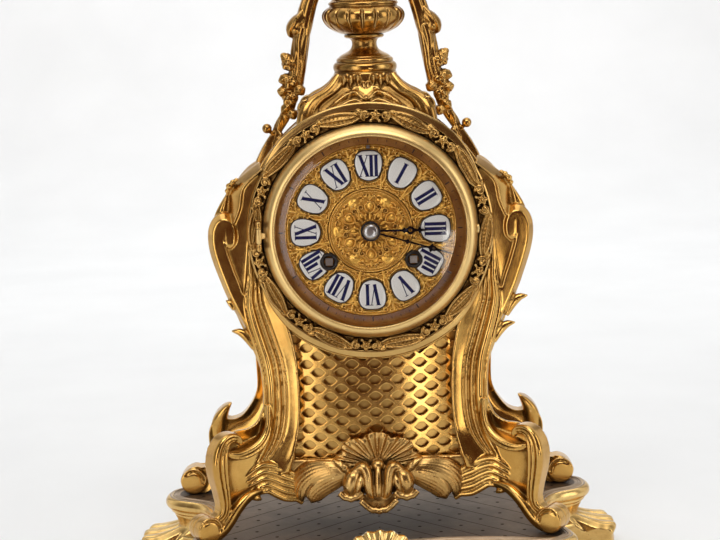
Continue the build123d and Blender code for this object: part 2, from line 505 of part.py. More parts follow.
going_winding_arbor = winding_arbor(A_GOING, 1)
strike_winding_arbor = winding_arbor(A_STRIKE, -1)
tip = (A_GOING[0] + 8.8 * math.cos(math.radians(68)), A_GOING[1] + 8.8 * math.sin(math.radians(68)))
click = prism([(CLICK_R[0], CLICK_R[1] + 2.2), (CLICK_R[0] - 4, CLICK_R[1] + 2.3), (tip[0] + 1.0, tip[1] + 2.2), tip, (tip[0] + 2.2, tip[1] - 0.1),
               (CLICK_R[0] - 3, CLICK_R[1] - 1.4), (CLICK_R[0], CLICK_R[1] - 2.0)], -24, -22.4) + rod(CLICK_R[0], CLICK_R[1], 2.5, -24.4, -22)
going_click = click - rod(CLICK_R[0], CLICK_R[1], 1.2 + PIVOT_GAP, -30, -10)
strike_click = flip(going_click)

# going train
centre_wheel = rod(0, ZD, 1.5, -39.2, Y_P3 - 0.4) + rod(0, ZD, 1.0, 10, Y_P4 - 0.4)
centre_wheel = centre_wheel + pinion(12, M_INTER, A_CENTRE, A_INTER, -16.2, -12.8)
c_w = wheel(60, M_CENTRE, A_CENTRE, A_THIRD, 11.5, 13.3) - spokes(A_CENTRE, 4.0, 12.4, 4, 2.4, 11.5, 13.3, 20)
centre_wheel = centre_wheel + c_w
cannon_pinion = pinion(14, M_CANNON, A_CENTRE, A_MIN, -23.6, -21) + rod(0, ZD, 2.5, -36.6, -23)
cannon_pinion = cannon_pinion - rod(0, ZD, 1.5, -50, -10)
i_w = wheel(72, M_INTER, A_INTER, A_CENTRE, -15.4, -13.6) - spokes(A_INTER, 4.2, 13.4, 4, 2.6, -15.4, -13.6, 30)
intermediate_wheel = arbor(A_INTER, R_ARB, R_PIV) + pinion(12, M_GREAT, A_INTER, A_GOING, -12, -7) + i_w
m_w = wheel(42, M_CANNON, A_MIN, A_CENTRE, -23.2, -21.4) - spokes(A_MIN, 4.6, 8.9, 4, 2.2, -23.2, -21.4, 10)
minute_wheel = m_w + pinion(12, M_HOUR, A_MIN, A_CENTRE, -27.6, -23.2) - rod(A_MIN[0], A_MIN[1], 1.5 + PIVOT_GAP, -40, -10)
hour_wheel = wheel(48, M_HOUR, A_CENTRE, A_MIN, -27.2, -25.4) + rod(0, ZD, 4.2, -34.9, -26) - rod(0, ZD, 2.8, -50, -10)
t_w = wheel(60, M_THIRD, A_THIRD, A_ESC, 0, 1.6) - spokes(A_THIRD, 3.6, 10.2, 4, 2.0, 0, 1.6, 5)
third_wheel = arbor(A_THIRD, R_ARB, R_PIV) + pinion(12, M_CENTRE, A_THIRD, A_CENTRE, 10.8, 14) + t_w
esc_pts = []
for i in range(24):
    a = 2 * math.pi * i / 24
    esc_pts += [(8.5, a), (8.4, a + 0.03), (6.9, a + 0.09), (6.7, a + 0.17)]
esc = prism([(A_ESC[0] + r * math.cos(a), A_ESC[1] + r * math.sin(a)) for r, a in esc_pts], 6, 7.4) - spokes(A_ESC, 3.0, 5.8, 4, 1.4, 6, 7.4, 0)
escape_wheel = arbor(A_ESC, R_ARB, R_PIV) + pinion(12, M_THIRD, A_ESC, A_THIRD, -1, 2.6) + esc
anchor_half = [(0, 40), (3, 39.4), (8, 35.6), (10.8, 30.4), (9.8, 28.6), (8.1, 30.6), (6.1, 33.3), (2.6, 34.7), (0, 34.9)]
anchor_pts = [(x, ZD + z) for x, z in mirror_half(anchor_half)]
pallet_anchor = prism(anchor_pts, 6, 7.4) + rod(A_ANCHOR[0], A_ANCHOR[1], R_ARB, Y_P2 + 0.4, 21.5) + rod(A_ANCHOR[0], A_ANCHOR[1], R_PIV, Y_P1 + 0.4, -10)
pallet_anchor = pallet_anchor + block(-1.6, 1.6, 19.8, 21.5, ZD + 6, ZD + 38.5) + block(-3.2, 3.2, 19.8, 21.5, ZD + 5, ZD + 9)
for s in (1, -1):
    x0, x1 = sorted((s * 1.8, s * 3.2))
    pallet_anchor = pallet_anchor + block(x0, x1, 21, 29, ZD + 5, ZD + 9)

Y_PEND = 27.0
PEND_LEN = 112.0
z_bob = A_ANCHOR[1] - PEND_LEN
bob = turned_y([(0, Y_PEND - 4.2), (6, Y_PEND - 3.8), (11, Y_PEND - 2.2), (14, Y_PEND - 0.6), (14, Y_PEND + 0.6), (11, Y_PEND + 2.2), (6, Y_PEND + 3.8),
                (0, Y_PEND + 4.2)], 0, z_bob)
pendulum = rod(0, A_ANCHOR[1], 3.3, 25.6, 28.4) + post(0, Y_PEND, 1.2, z_bob - 19, A_ANCHOR[1] - 1.6) + bob + post(0, Y_PEND, 3.0, z_bob - 18, z_bob - 15.4)
pendulum = pendulum - rod(0, A_ANCHOR[1], 1.2 + PIVOT_GAP, 20, 35)
suspension_bracket = block(-6, 6, Y_P4, 22, ZD + 41.5, ZD + 51) + block(-3, 3, 21, 31.6, ZD + 41.5, ZD + 45.5)
suspension_bracket = suspension_bracket + block(-3, 3, 22.6, 24.6, ZD + 34.5, ZD + 42) + block(-3, 3, 29.6, 31.6, ZD + 34.5, ZD + 42)
suspension_bracket = suspension_bracket + rod(0, A_ANCHOR[1], 1.2, 23, 31) - rod(A_REG[0], A_REG[1], 1.0 + PIVOT_GAP, 10, 40)

# strike train
s_w = wheel(60, M_STRIKE, A_SEC, A_PIN, -15.4, -13.6) - spokes(A_SEC, 3.6, 9.6, 4, 2.0, -15.4, -13.6, 15)
strike_second_wheel = arbor(A_SEC, R_ARB, R_PIV) + pinion(12, M_GREAT, A_SEC, A_STRIKE, -12, -7) + s_w
strike_pin_wheel = arbor(A_PIN, R_ARB, R_PIV) + pinion(12, M_STRIKE, A_PIN, A_SEC, -16, -13) + rod(A_PIN[0], A_PIN[1], 9.0, 6, 7.6)
for i in range(8):
    a = math.radians(45 * i)
    strike_pin_wheel = strike_pin_wheel + rod(A_PIN[0] + 7 * math.cos(a), A_PIN[1] + 7 * math.sin(a), 0.8, 7, 11)
bell = turned_y([(33, 34), (33, 36), (31.6, 42), (27, 49), (18, 54), (6, 56), (2, 56), (2, 54.2), (6, 54.2), (17, 52.3), (25.6, 47.7), (29.9, 41.5),
                 (31.2, 36), (31.2, 34)], BELL_C[0], BELL_C[1])
hx, hz = A_HAMMER
hammer = rod(hx, hz, 3.4, 35, 40) + prism([(hx - 1.2, hz), (hx + 1.2, hz), (hx + 2.2, hz + 19), (hx - 0.4, hz + 19)], 36.5, 38.5)
hammer = hammer + Pos(hx + 1.6, 37.5, hz + 21.5) * Rot(0, 90, 0) * Cylinder(3.4, 7.6)
hammer = hammer - rod(hx, hz, 1.5 + PIVOT_GAP, 20, 50)

rear_door = rod(0, ZD, 56, 72.4, 74.6) + block(50, door_x, 72.6, 75.2, ZD - 4, ZD + 4) + post(door_x, door_y, 2.4, ZD - 4, ZD + 4)
rear_door = rear_door + block(door_x - 2.4, door_x + 2.4, 72.8, door_y, ZD - 4, ZD + 4) + rod(-48, ZD, 3.0, 74, 80)
for r, n in ((16, 6), (32, 12)):
    for i in range(n):
        a = 2 * math.pi * i / n
        rear_door = rear_door - rod(r * math.cos(a), ZD + r * math.sin(a), 3.2, 70, 78)
rear_door = rear_door - post(door_x, door_y, 1.2 + PIVOT_GAP, ZD - 9, ZD + 9)
regulator_arbor = rod(A_REG[0], A_REG[1], 1.0, -31.5, 23.2) + block(-0.9, 0.9, -33, -31, A_REG[1] - 0.9, A_REG[1] + 0.9) \
    + rod(A_REG[0], A_REG[1], 3.0, 22.4, 24.4)

# ------------------------------------------------------------------ one file per component
for node, obj in dict(
        base_plinth=base_plinth, base_top_plate=base_top_plate, base_feet=base_feet, base_shell_mount=base_shell_mount,
        base_nuts=base_nuts, case_front=case_front, pilaster_left=pilaster_left, pilaster_right=pilaster_right,
        rear_leg_left=rear_leg_left, rear_leg_right=rear_leg_right, side_panel_left=side_panel_left,
        side_panel_right=side_panel_right, case_back=case_back, case_drum=case_drum, trellis_panel=trellis_panel,
        trellis_backing=trellis_backing, apron_shell=apron_shell, dial_surround=dial_surround, top_pedestal=top_pedestal,
        urn_foot=urn_foot, urn_body=urn_body, urn_cover=urn_cover, garland_left=garland_left, garland_right=garland_right,
        urn_tie_rod=urn_tie_rod, bezel_ring=bezel_ring, bezel_glass=bezel_glass, hinge_pins=hinge_pins, dial_plate=dial_plate,
        dial_centre=dial_centre, enamel_plaques=enamel_plaques, winding_collets=winding_collets, hour_hand=hour_hand,
        minute_hand=minute_hand, hand_nut=hand_nut, movement_front_plate=movement_front_plate,
        movement_back_plate=movement_back_plate, movement_pillars=movement_pillars, going_barrel=going_barrel,
        going_winding_arbor=going_winding_arbor, strike_barrel=strike_barrel, strike_winding_arbor=strike_winding_arbor,
        going_click=going_click, strike_click=strike_click, centre_wheel=centre_wheel, cannon_pinion=cannon_pinion,
        intermediate_wheel=intermediate_wheel, minute_wheel=minute_wheel, hour_wheel=hour_wheel, third_wheel=third_wheel,
        escape_wheel=escape_wheel, pallet_anchor=pallet_anchor, pendulum=pendulum, suspension_bracket=suspension_bracket,
        strike_second_wheel=strike_second_wheel, strike_pin_wheel=strike_pin_wheel, bell=bell, hammer=hammer,
        rear_door=rear_door, regulator_arbor=regulator_arbor).items():
    save(node, obj)
    bb = obj.bounding_box()
    print("%-22s solids %d vol %9.1f  x %.1f..%.1f y %.1f..%.1f z %.1f..%.1f" % (
        node, len(obj.solids()), sum(s.volume for s in obj.solids()), bb.min.X, bb.max.X, bb.min.Y, bb.max.Y, bb.min.Z, bb.max.Z))
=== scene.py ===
import bpy, bmesh, math
import numpy as np
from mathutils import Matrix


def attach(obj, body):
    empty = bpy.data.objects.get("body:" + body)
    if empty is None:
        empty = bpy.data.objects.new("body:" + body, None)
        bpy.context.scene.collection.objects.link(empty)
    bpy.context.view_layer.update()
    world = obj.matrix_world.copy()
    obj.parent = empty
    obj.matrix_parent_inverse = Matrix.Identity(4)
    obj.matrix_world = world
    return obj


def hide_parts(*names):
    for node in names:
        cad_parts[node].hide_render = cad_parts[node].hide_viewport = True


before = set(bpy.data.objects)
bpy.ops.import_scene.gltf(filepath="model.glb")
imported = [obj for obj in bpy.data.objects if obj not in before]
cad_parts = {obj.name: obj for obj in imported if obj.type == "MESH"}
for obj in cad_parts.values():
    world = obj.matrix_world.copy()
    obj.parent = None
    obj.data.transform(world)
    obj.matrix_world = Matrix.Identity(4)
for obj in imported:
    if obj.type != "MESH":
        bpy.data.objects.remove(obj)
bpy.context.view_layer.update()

MM = 0.001
ZD = 218.0          # dial centre height, mm
YU = 20.0           # urn axis, mm
rng = np.random.default_rng(7)
pi = math.pi


# ------------------------------------------------------------------ curves and sweeps (all in millimetres)
def cr(ctrl, n=8, closed=False):
    """smooth curve through the control rows, any number of columns"""
    P = np.asarray(ctrl, float)
    k = len(P)
    out = []
    for i in range(k if closed else k - 1):
        if closed:
            a, b, c, d = P[(i - 1) % k], P[i], P[(i + 1) % k], P[(i + 2) % k]
        else:
            b, c = P[i], P[i + 1]
            a = P[i - 1] if i > 0 else 2 * b - c
            d = P[i + 2] if i + 2 < k else 2 * c - b
        t = (np.arange(n) / n)[:, None]
        out.append(0.5 * (2 * b + (c - a) * t + (2 * a - 5 * b + 4 * c - d) * t ** 2 + (3 * b - a - 3 * c + d) * t ** 3))
    R = np.concatenate(out)
    return R if closed else np.concatenate([R, P[-1:]])


def unit(v):
    return v / np.maximum(np.linalg.norm(v, axis=-1, keepdims=True), 1e-9)


def frames(P, ref, closed=False):
    T = (np.roll(P, -1, 0) - np.roll(P, 1, 0)) if closed else np.gradient(P, axis=0)
    T = unit(T)
    ref = np.broadcast_to(np.asarray(ref, float), P.shape)
    N = unit(ref - (ref * T).sum(1, keepdims=True) * T)
    return T, N, np.cross(T, N)


class M:
    """mesh under construction"""

    def __init__(s):
        s.V, s.F, s.n = [], [], 0

    def add(s, V, F):
        V = np.asarray(V, float).reshape(-1, 3)
        F = [tuple(int(i) + s.n for i in f) for f in F]
        s.V.append(V)
        s.F += F
        s.n += len(V)
        return s

    def grid(s, P, cu=False, cv=False, caps=False):
        nu, nv = P.shape[:2]
        idx = np.arange(nu * nv).reshape(nu, nv)
        a = idx if cu else idx[:-1]
        b = np.roll(idx, -1, 0) if cu else idx[1:]
        if cv:
            a2, b2 = np.roll(a, -1, 1), np.roll(b, -1, 1)
        else:
            a, a2, b, b2 = a[:, :-1], a[:, 1:], b[:, :-1], b[:, 1:]
        F = np.stack([a, a2, b2, b], -1).reshape(-1, 4).tolist()
        V = P.reshape(-1, 3)
        if caps:
            c0, c1 = len(V), len(V) + 1
            V = np.concatenate([V, P[0].mean(0)[None], P[-1].mean(0)[None]])
            r0, r1 = idx[0].tolist(), idx[-1].tolist()
            F += [(r0[i], c0, r0[(i + 1) % nv]) for i in range(nv)]
            F += [(r1[(i + 1) % nv], c1, r1[i]) for i in range(nv)]
        return s.add(V, F)

    def sheet(s, T, B):
        """closed solid from a top grid and a bottom grid of the same shape"""
        nu, nv = T.shape[:2]
        ring = np.concatenate([T, B[:, ::-1]], 1)
        return s.grid(ring, cv=True, caps=False).lid(T[0], B[0]).lid(T[-1], B[-1])

    def lid(s, a, b):
        n = len(a)
        V = np.concatenate([a, b])
        F = [(i, i + 1, n + i + 1, n + i) for i in range(n - 1)]
        return s.add(V, F)

    def join(s, o, mirror=False):
        V = np.concatenate(o.V)
        if mirror:
            V = V * np.array([-1, 1, 1])
            return s.add(V, [f[::-1] for f in o.F])
        return s.add(V, o.F)

    def move(s, fn):
        s.V = [fn(np.concatenate(s.V))]
        return s


def sect(kind, m=9):
    u = np.linspace(-1, 1, m)
    if kind == "round":
        th = np.linspace(pi, 0, m)
        return np.stack([np.cos(th), np.sin(th)], 1)
    if kind == "tube":
        th = np.linspace(pi, -pi, 2 * m, endpoint=False)
        return np.stack([np.cos(th), np.sin(th)], 1)
    if kind == "soft":
        return np.stack([u, (1 - np.abs(u) ** 3.2) ** 0.6], 1)
    if kind == "flat":
        return np.stack([np.sign(u) * np.abs(u) ** 0.7, (1 - np.abs(u) ** 8) ** 0.5], 1)
    if kind == "cup":
        return np.stack([u, np.where(np.abs(u) > 0.995, 0.0, 0.45 + 0.55 * np.abs(u) ** 2.2)], 1)
    if kind == "ridge":
        return np.stack([u, (1 - np.abs(u)) ** 1.25], 1)
    if kind == "reed":
        return np.stack([u, np.sqrt(np.maximum(0, 1 - u * u)) * (0.72 + 0.28 * np.abs(np.cos(2.5 * pi * u / 2 * 2)))], 1)
    raise ValueError(kind)


def strand(mesh, ctrl, kind="round", n=8, ref=(0, -1, 0), back=0.6, m=9, closed=False, profile=None):
    """ctrl rows: x, y, z, half width, height"""
    C = cr(ctrl, n, closed)
    P, w, h = C[:, :3], np.maximum(C[:, 3], 0.02), np.maximum(C[:, 4], 0.02)
    T, N, S = frames(P, ref, closed)
    Q = profile if profile is not None else sect(kind, m)
    if kind != "tube":
        Q = np.concatenate([Q, [[1.0, -back], [-1.0, -back]]])
    R = P[:, None] + S[:, None] * (Q[None, :, :1] * w[:, None, None]) + N[:, None] * (Q[None, :, 1:] * h[:, None, None])
    return mesh.grid(R, cu=closed, cv=True, caps=not closed)


def leaf(mesh, ctrl, n=8, m=21, ref=(0, -1, 0), lobes=4, cut=0.22, vein=0.5, veins=None, camber=1.0, thick=1.4, slant=0.9, mid=0.5, tipcurl=0.0):
    """ctrl rows: x, y, z, half width, lift of the midrib; a lobed, veined leaf with thickness"""
    C = cr(ctrl, n)
    P, w, h = C[:, :3], C[:, 3], C[:, 4]
    T, N, S = frames(P, ref)
    L = np.concatenate([[0], np.cumsum(np.linalg.norm(np.diff(P, axis=0), axis=1))])
    t = L / L[-1]
    u = np.linspace(-1, 1, m)
    veins = veins or lobes * 2
    T_, U = np.meshgrid(t, u, indexing="ij")
    ph = lobes * (T_ - 0.0) - slant * np.abs(U) * 0.5
    edge = 1 - cut * (0.5 - 0.5 * np.cos(2 * pi * lobes * T_)) ** 0.6 * (lobes > 0)
    W = w[:, None] * np.where(np.abs(U) > 0, edge, 1)
    rel = camber * h[:, None] * (1 - np.abs(U) ** 1.8)
    rel = rel + vein * np.cos(2 * pi * (veins * T_ - slant * np.abs(U) * 1.6)) * np.minimum(1, np.abs(U) * 3) * np.minimum(1, w[:, None] / 4)
    rel = rel + mid * np.exp(-(U / 0.12) ** 2)
    rel = rel + tipcurl * np.maximum(0, T_ - 0.7) ** 2 * 11
    top = P[:, None] + S[:, None] * (U * W)[..., None] + N[:, None] * rel[..., None]
    bot = P[:, None] + S[:, None] * (U * W * 0.96)[..., None] + N[:, None] * (rel * 0.25 - thick)[..., None]
    return mesh.sheet(top, bot)


def turned(mesh, prof, axis=(0, YU), n=96, lobes=None):
    """revolve (r, z) rows round a vertical axis; lobes(r, z, angle) scales the radius"""
    prof = np.asarray(prof, float)
    a = np.linspace(0, 2 * pi, n, endpoint=False)
    R = prof[:, 0][:, None] * np.ones(n)
    Z = prof[:, 1][:, None] * np.ones(n)
    if lobes is not None:
        R, Z = lobes(R, Z, a[None, :] * np.ones_like(R))
    P = np.stack([axis[0] + R * np.sin(a), axis[1] - R * np.cos(a), Z], -1)
    return mesh.grid(P, cv=True, caps=True)


def faced(mesh, prof, n=180, centre=(0, ZD), closed=True):
    """revolve (r, y) rows round the dial axis; a closed profile makes a ring"""
    prof = np.asarray(prof, float)
    a = np.linspace(0, 2 * pi, n, endpoint=False)
    P = np.stack([centre[0] + prof[:, 0][:, None] * np.sin(a), prof[:, 1][:, None] * np.ones(n), centre[1] + prof[:, 0][:, None] * np.cos(a)], -1)
    return mesh.grid(P, cu=closed, cv=True, caps=not closed)


def ball(mesh, c, r, n=10, m=14, squash=(1, 1, 1)):
    th = np.linspace(0.02, pi - 0.02, n)
    ph = np.linspace(0, 2 * pi, m, endpoint=False)
    P = np.stack([np.sin(th)[:, None] * np.cos(ph), np.sin(th)[:, None] * np.sin(ph), np.cos(th)[:, None] * np.ones(m)], -1)
    return mesh.grid(np.asarray(c) + P * r * np.asarray(squash), cv=True, caps=True)


def spiral(cx, cz, r0, r1, a0, a1, n=24, power=1.0):
    """points on a spiral, angles in degrees counter-clockwise from +x"""
    t = np.linspace(0, 1, n)
    a = np.radians(a0 + (a1 - a0) * t)
    r = r0 + (r1 - r0) * t ** power
    return np.stack([cx + r * np.cos(a), cz + r * np.sin(a)], 1)


def disc(mesh, c, r, h, n=20, ref=(0, -1, 0), dome=0.5):
    """small rounded boss at c facing ref"""
    ref = unit(np.asarray(ref, float))
    side = unit(np.cross(ref, (0.3, 0.2, 1.0)))
    up = np.cross(side, ref)
    prof = [(0.02, h + dome), (0.45 * r, h + dome * 0.8), (0.8 * r, h + dome * 0.3), (r, h * 0.6), (r, -1.5)]
    a = np.linspace(0, 2 * pi, n, endpoint=False)
    P = np.stack([np.asarray(c) + side * q[0] * np.cos(b) + up * q[0] * np.sin(b) + ref * q[1] for q in prof for b in a]).reshape(len(prof), n, 3)
    return mesh.grid(P, cv=True, caps=True)


def flower(mesh, c, r, petals=5, ref=(0, -1, 0), turn=0.0, h=1.2):
    """petalled rosette"""
    ref = unit(np.asarray(ref, float))
    side = unit(np.cross(ref, (0.1, 0.05, 1.0)))
    up = np.cross(side, ref)
    c = np.asarray(c, float)
    for k in range(petals):
        a = turn + 2 * pi * k / petals
        d = side * math.cos(a) + up * math.sin(a)
        rows = [(*(c + d * r * 0.1), r * 0.16, h * 0.9), (*(c + d * r * 0.45), r * 0.42, h * 0.8), (*(c + d * r * 0.85), r * 0.40, h * 0.75), (*(c + d * r * 1.08), r * 0.12, h * 0.3)]
        strand(mesh, rows, "soft", n=4, ref=ref, m=7, back=0.8)
    disc(mesh, c, r * 0.3, h * 1.1, 10, ref, h * 0.5)
    return mesh


# ------------------------------------------------------------------ objects
def build(name, mesh, mat, body, nodes=(), sharp=35.0, voxel=None, smooth=2, smooth_fac=0.5):
    me = bpy.data.meshes.new(name)
    me.from_pydata((np.concatenate(mesh.V) * MM).tolist(), [], mesh.F)
    me.update()
    bm = bmesh.new()
    bm.from_mesh(me)
    bmesh.ops.remove_doubles(bm, verts=bm.verts, dist=1e-6)
    bmesh.ops.dissolve_degenerate(bm, dist=1e-7, edges=bm.edges)
    bmesh.ops.recalc_face_normals(bm, faces=bm.faces)
    bm.to_mesh(me)
    bm.free()
    ob = bpy.data.objects.new(name, me)
    bpy.context.scene.collection.objects.link(ob)
    if voxel:
        md = ob.modifiers.new("r", "REMESH")
        md.mode, md.voxel_size, md.adaptivity = "VOXEL", voxel * MM, 0.0
        if smooth:
            sm = ob.modifiers.new("s", "SMOOTH")
            sm.factor, sm.iterations = smooth_fac, smooth
        dg = bpy.context.evaluated_depsgraph_get()
        new = bpy.data.meshes.new_from_object(ob.evaluated_get(dg))
        ob.modifiers.clear()
        ob.data = new
        ob.data.name = name
        me = new
    me.polygons.foreach_set("use_smooth", np.ones(len(me.polygons), bool))
    if sharp and not voxel:
        me.set_sharp_from_angle(angle=math.radians(sharp))
    me.materials.clear()
    me.materials.append(mat)
    me.update()
    for n in nodes:
        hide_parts(n)
    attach(ob, body)
    return ob


# ------------------------------------------------------------------ materials
class NT:
    """short-hand for a node tree"""

    def __init__(s, name):
        s.mat = bpy.data.materials.new(name)
        s.mat.use_nodes = True
        s.t = s.mat.node_tree
        s.p = s.t.nodes["Principled BSDF"]

    def new(s, kind, **kw):
        n = s.t.nodes.new(kind)
        for k, v in kw.items():
            setattr(n, k, v)
        return n

    def link(s, a, b):
        s.t.links.new(a, b)

    def math(s, op, a, b=None, clamp=False):
        n = s.new("ShaderNodeMath", operation=op, use_clamp=clamp)
        for i, v in enumerate((a, b)):
            if v is None:
                continue
            if isinstance(v, (int, float)):
                n.inputs[i].default_value = v
            else:
                s.link(v, n.inputs[i])
        return n.outputs[0]

    def ramp(s, fac, stops, interp="LINEAR"):
        n = s.new("ShaderNodeValToRGB")
        n.color_ramp.interpolation = interp
        el = n.color_ramp.elements
        while len(el) > 1:
            el.remove(el[-1])
        for i, (p, c) in enumerate(stops):
            e = el[0] if i == 0 else el.new(p)
            e.position = p
            e.color = (c, c, c, 1) if isinstance(c, (int, float)) else (*c, 1)
        s.link(fac, n.inputs[0])
        return n.outputs[0]

    def noise(s, scale, detail=3.0, rough=0.55, vec=None):
        n = s.new("ShaderNodeTexNoise")
        n.inputs["Scale"].default_value = scale
        n.inputs["Detail"].default_value = detail
        n.inputs["Roughness"].default_value = rough
        s.link(vec if vec is not None else s.obj(), n.inputs["Vector"])
        return n.outputs["Fac"]

    def obj(s):
        if not hasattr(s, "_o"):
            s._o = s.new("ShaderNodeTexCoord").outputs["Object"]
        return s._o

    def ao(s, dist, samples=6, inside=False):
        n = s.new("ShaderNodeAmbientOcclusion", samples=samples, inside=inside, only_local=False)
        n.inputs["Distance"].default_value = dist
        return n.outputs["AO"]

    def mix(s, fac, a, b, blend="MIX"):
        n = s.new("ShaderNodeMix", data_type="RGBA", blend_type=blend)
        for sock, v in ((n.inputs[0], fac), (n.inputs[6], a), (n.inputs[7], b)):
            if isinstance(v, (int, float)):
                sock.default_value = v
            elif isinstance(v, tuple):
                sock.default_value = (*v, 1)
            else:
                s.link(v, sock)
        return n.outputs[2]

    def bump(s, height, strength, dist):
        n = s.new("ShaderNodeBump")
        n.inputs["Strength"].default_value = strength
        n.inputs["Distance"].default_value = dist
        s.link(height, n.inputs["Height"])
        s.link(n.outputs[0], s.p.inputs["Normal"])


def gilt(name, hi=(0.72, 0.437, 0.126), lo=(0.51, 0.275, 0.064), dark=(0.062, 0.028, 0.010), rough=0.20, ao_dist=0.005, ao_lo=0.22, ao_hi=0.80, grain=0.045, mott=0.15):
    """fire-gilt bronze: burnished high parts with a painted highlight on the convex edges, thinner gilding on broad
    parts, painted shade (ambient occlusion and concave creases) darkening the recesses to brown
    """
    m = NT(name)
    m.p.inputs["Metallic"].default_value = 1.0
    big = m.noise(28, 4, 0.6)
    mid = m.noise(170, 5, 0.62)
    fine = m.noise(1900, 3, 0.5)
    body = m.mix(m.ramp(big, [(0.32, 0.0), (0.70, 1.0)]), lo, hi)
    body = m.mix(m.ramp(mid, [(0.36, mott * 2.2), (0.56, 0.0)]), body, (0.36, 0.175, 0.042))
    # painted shade: ambient occlusion, varied by a little random mottle, darkens the recesses towards the dark colour
    occ = m.ao(ao_dist)
    shade_and_mottle = m.ramp(m.math("ADD", occ, m.math("MULTIPLY", m.math("SUBTRACT", mid, 0.5), 0.22)), [(ao_lo, 1.0), (ao_hi, 0.0)])
    geo = m.new("ShaderNodeNewGeometry").outputs["Pointiness"]
    # painted highlight: convex edges found from pointiness are lightened towards pale gold; the same mask lowers the
    # roughness for the burnish
    edge = m.ramp(geo, [(0.512, 0.0), (0.58, 1.0)])
    # painted shade: concave creases found from pointiness are darkened too
    crease_shade = m.ramp(geo, [(0.42, 1.0), (0.488, 0.0)])
    shade_and_mottle = m.math("MAXIMUM", shade_and_mottle, m.math("MULTIPLY", crease_shade, 0.65), clamp=True)
    col = m.mix(m.math("MULTIPLY", edge, 0.6), body, (0.90, 0.63, 0.255))
    col = m.mix(m.math("MULTIPLY", shade_and_mottle, 0.88), col, dark)
    m.link(col, m.p.inputs["Base Color"])
    r = m.math("ADD", m.math("MULTIPLY", mid, 0.16), rough - 0.08)
    r = m.math("ADD", r, m.math("MULTIPLY", shade_and_mottle, 0.34))
    r = m.math("SUBTRACT", r, m.math("MULTIPLY", edge, 0.06), clamp=True)
    m.link(r, m.p.inputs["Roughness"])
    m.bump(m.math("ADD", m.math("MULTIPLY", fine, 0.5), mid), grain, 0.0006)
    return m.mat


GILT = gilt("gilt_bronze")


def gold_flat(name, hi, lo, rough, scale=60, ao_dist=0.004, dark=(0.09, 0.04, 0.012), brushed=None, spec=0.0):
    """burnished metal with uneven tone, darkened in the recesses by painted shade (ambient occlusion)"""
    m = NT(name)
    m.p.inputs["Metallic"].default_value = 1.0
    big = m.noise(scale, 5, 0.6)
    fine = m.noise(1500, 2, 0.5)
    col = m.mix(m.ramp(big, [(0.3, 0.0), (0.72, 1.0)]), lo, hi)
    # painted shade: ambient occlusion darkens the recesses towards the dark colour
    occ = m.ramp(m.ao(ao_dist), [(0.25, 1.0), (0.8, 0.0)])
    col = m.mix(m.math("MULTIPLY", occ, 0.85), col, dark)
    m.link(col, m.p.inputs["Base Color"])
    r = m.math("ADD", m.math("MULTIPLY", big, 0.12), rough - 0.06)
    m.link(m.math("ADD", r, m.math("MULTIPLY", occ, 0.3), clamp=True), m.p.inputs["Roughness"])
    m.bump(fine, 0.06, 0.0003)
    return m.mat


POLISH = gold_flat("polished_gilt", (0.84, 0.58, 0.225), (0.70, 0.44, 0.145), 0.25, 40)
# darker copy of the gilt: its lower tone paints the shade inside the trellis holes
BACKING = gold_flat("backing_gilt", (0.60, 0.375, 0.118), (0.44, 0.26, 0.074), 0.30, 55, ao_dist=0.0012)
BAND = gold_flat("band_gilt", (0.66, 0.43, 0.155), (0.50, 0.30, 0.095), 0.24, 40)
BRASS = gold_flat("movement_brass", (0.80, 0.58, 0.24), (0.66, 0.44, 0.15), 0.26, 80)
BELLM = gold_flat("bell_metal", (0.72, 0.60, 0.40), (0.55, 0.42, 0.24), 0.22, 45)
STEEL = gold_flat("steel", (0.46, 0.46, 0.47), (0.30, 0.30, 0.31), 0.30, 90, dark=(0.05, 0.045, 0.04))
NUT = gold_flat("polished_steel", (0.66, 0.66, 0.67), (0.50, 0.50, 0.52), 0.30, 60, ao_dist=0.0008, dark=(0.06, 0.055, 0.05))
BLUED = gold_flat("blued_steel", (0.016, 0.017, 0.026), (0.008, 0.008, 0.012), 0.30, 120, dark=(0.003, 0.003, 0.004))
# paler copy of the gilt: the paler tone paints part of the pale reflection on the bezel; the higher roughness gives its
# satin polish
BEZEL = gold_flat("bezel_gilt", (0.88, 0.64, 0.28), (0.75, 0.51, 0.20), 0.36, 30)
SATIN = gold_flat("satin_gilt", (0.78, 0.53, 0.205), (0.64, 0.40, 0.135), 0.34, 40)
ARBOR = gold_flat("arbor_steel", (0.66, 0.65, 0.64), (0.46, 0.45, 0.44), 0.30, 200, ao_dist=0.0012, dark=(0.02, 0.018, 0.016))
# lighter copy of the gilt: its paler tone paints the lit straps against the shaded backing
TRELLIS = gilt("trellis_gilt", hi=(0.80, 0.49, 0.145), lo=(0.62, 0.34, 0.082), rough=0.20, ao_dist=0.0012)
# lighter copy of the gilt: its paler tone paints the bright highlight on the base rim
GILT_BASE = gilt("gilt_bronze_base", hi=(0.84, 0.58, 0.225), lo=(0.68, 0.43, 0.142), rough=0.25)
GILT_APRON = gilt("gilt_bronze_apron", hi=(0.64, 0.40, 0.142), lo=(0.45, 0.258, 0.078), rough=0.28)
GILT_DEEP = gilt("gilt_bronze_deep", hi=(0.58, 0.345, 0.102), lo=(0.33, 0.17, 0.042), dark=(0.060, 0.024, 0.008), rough=0.22, ao_dist=0.0065, ao_lo=0.30, ao_hi=0.93, mott=0.2)
DIALG = gilt("dial_gilt", hi=(0.97, 0.575, 0.135), lo=(0.83, 0.43, 0.075), dark=(0.14, 0.04, 0.006), rough=0.31, ao_dist=0.0016, ao_lo=0.30, ao_hi=0.80, grain=0.05, mott=0.05)


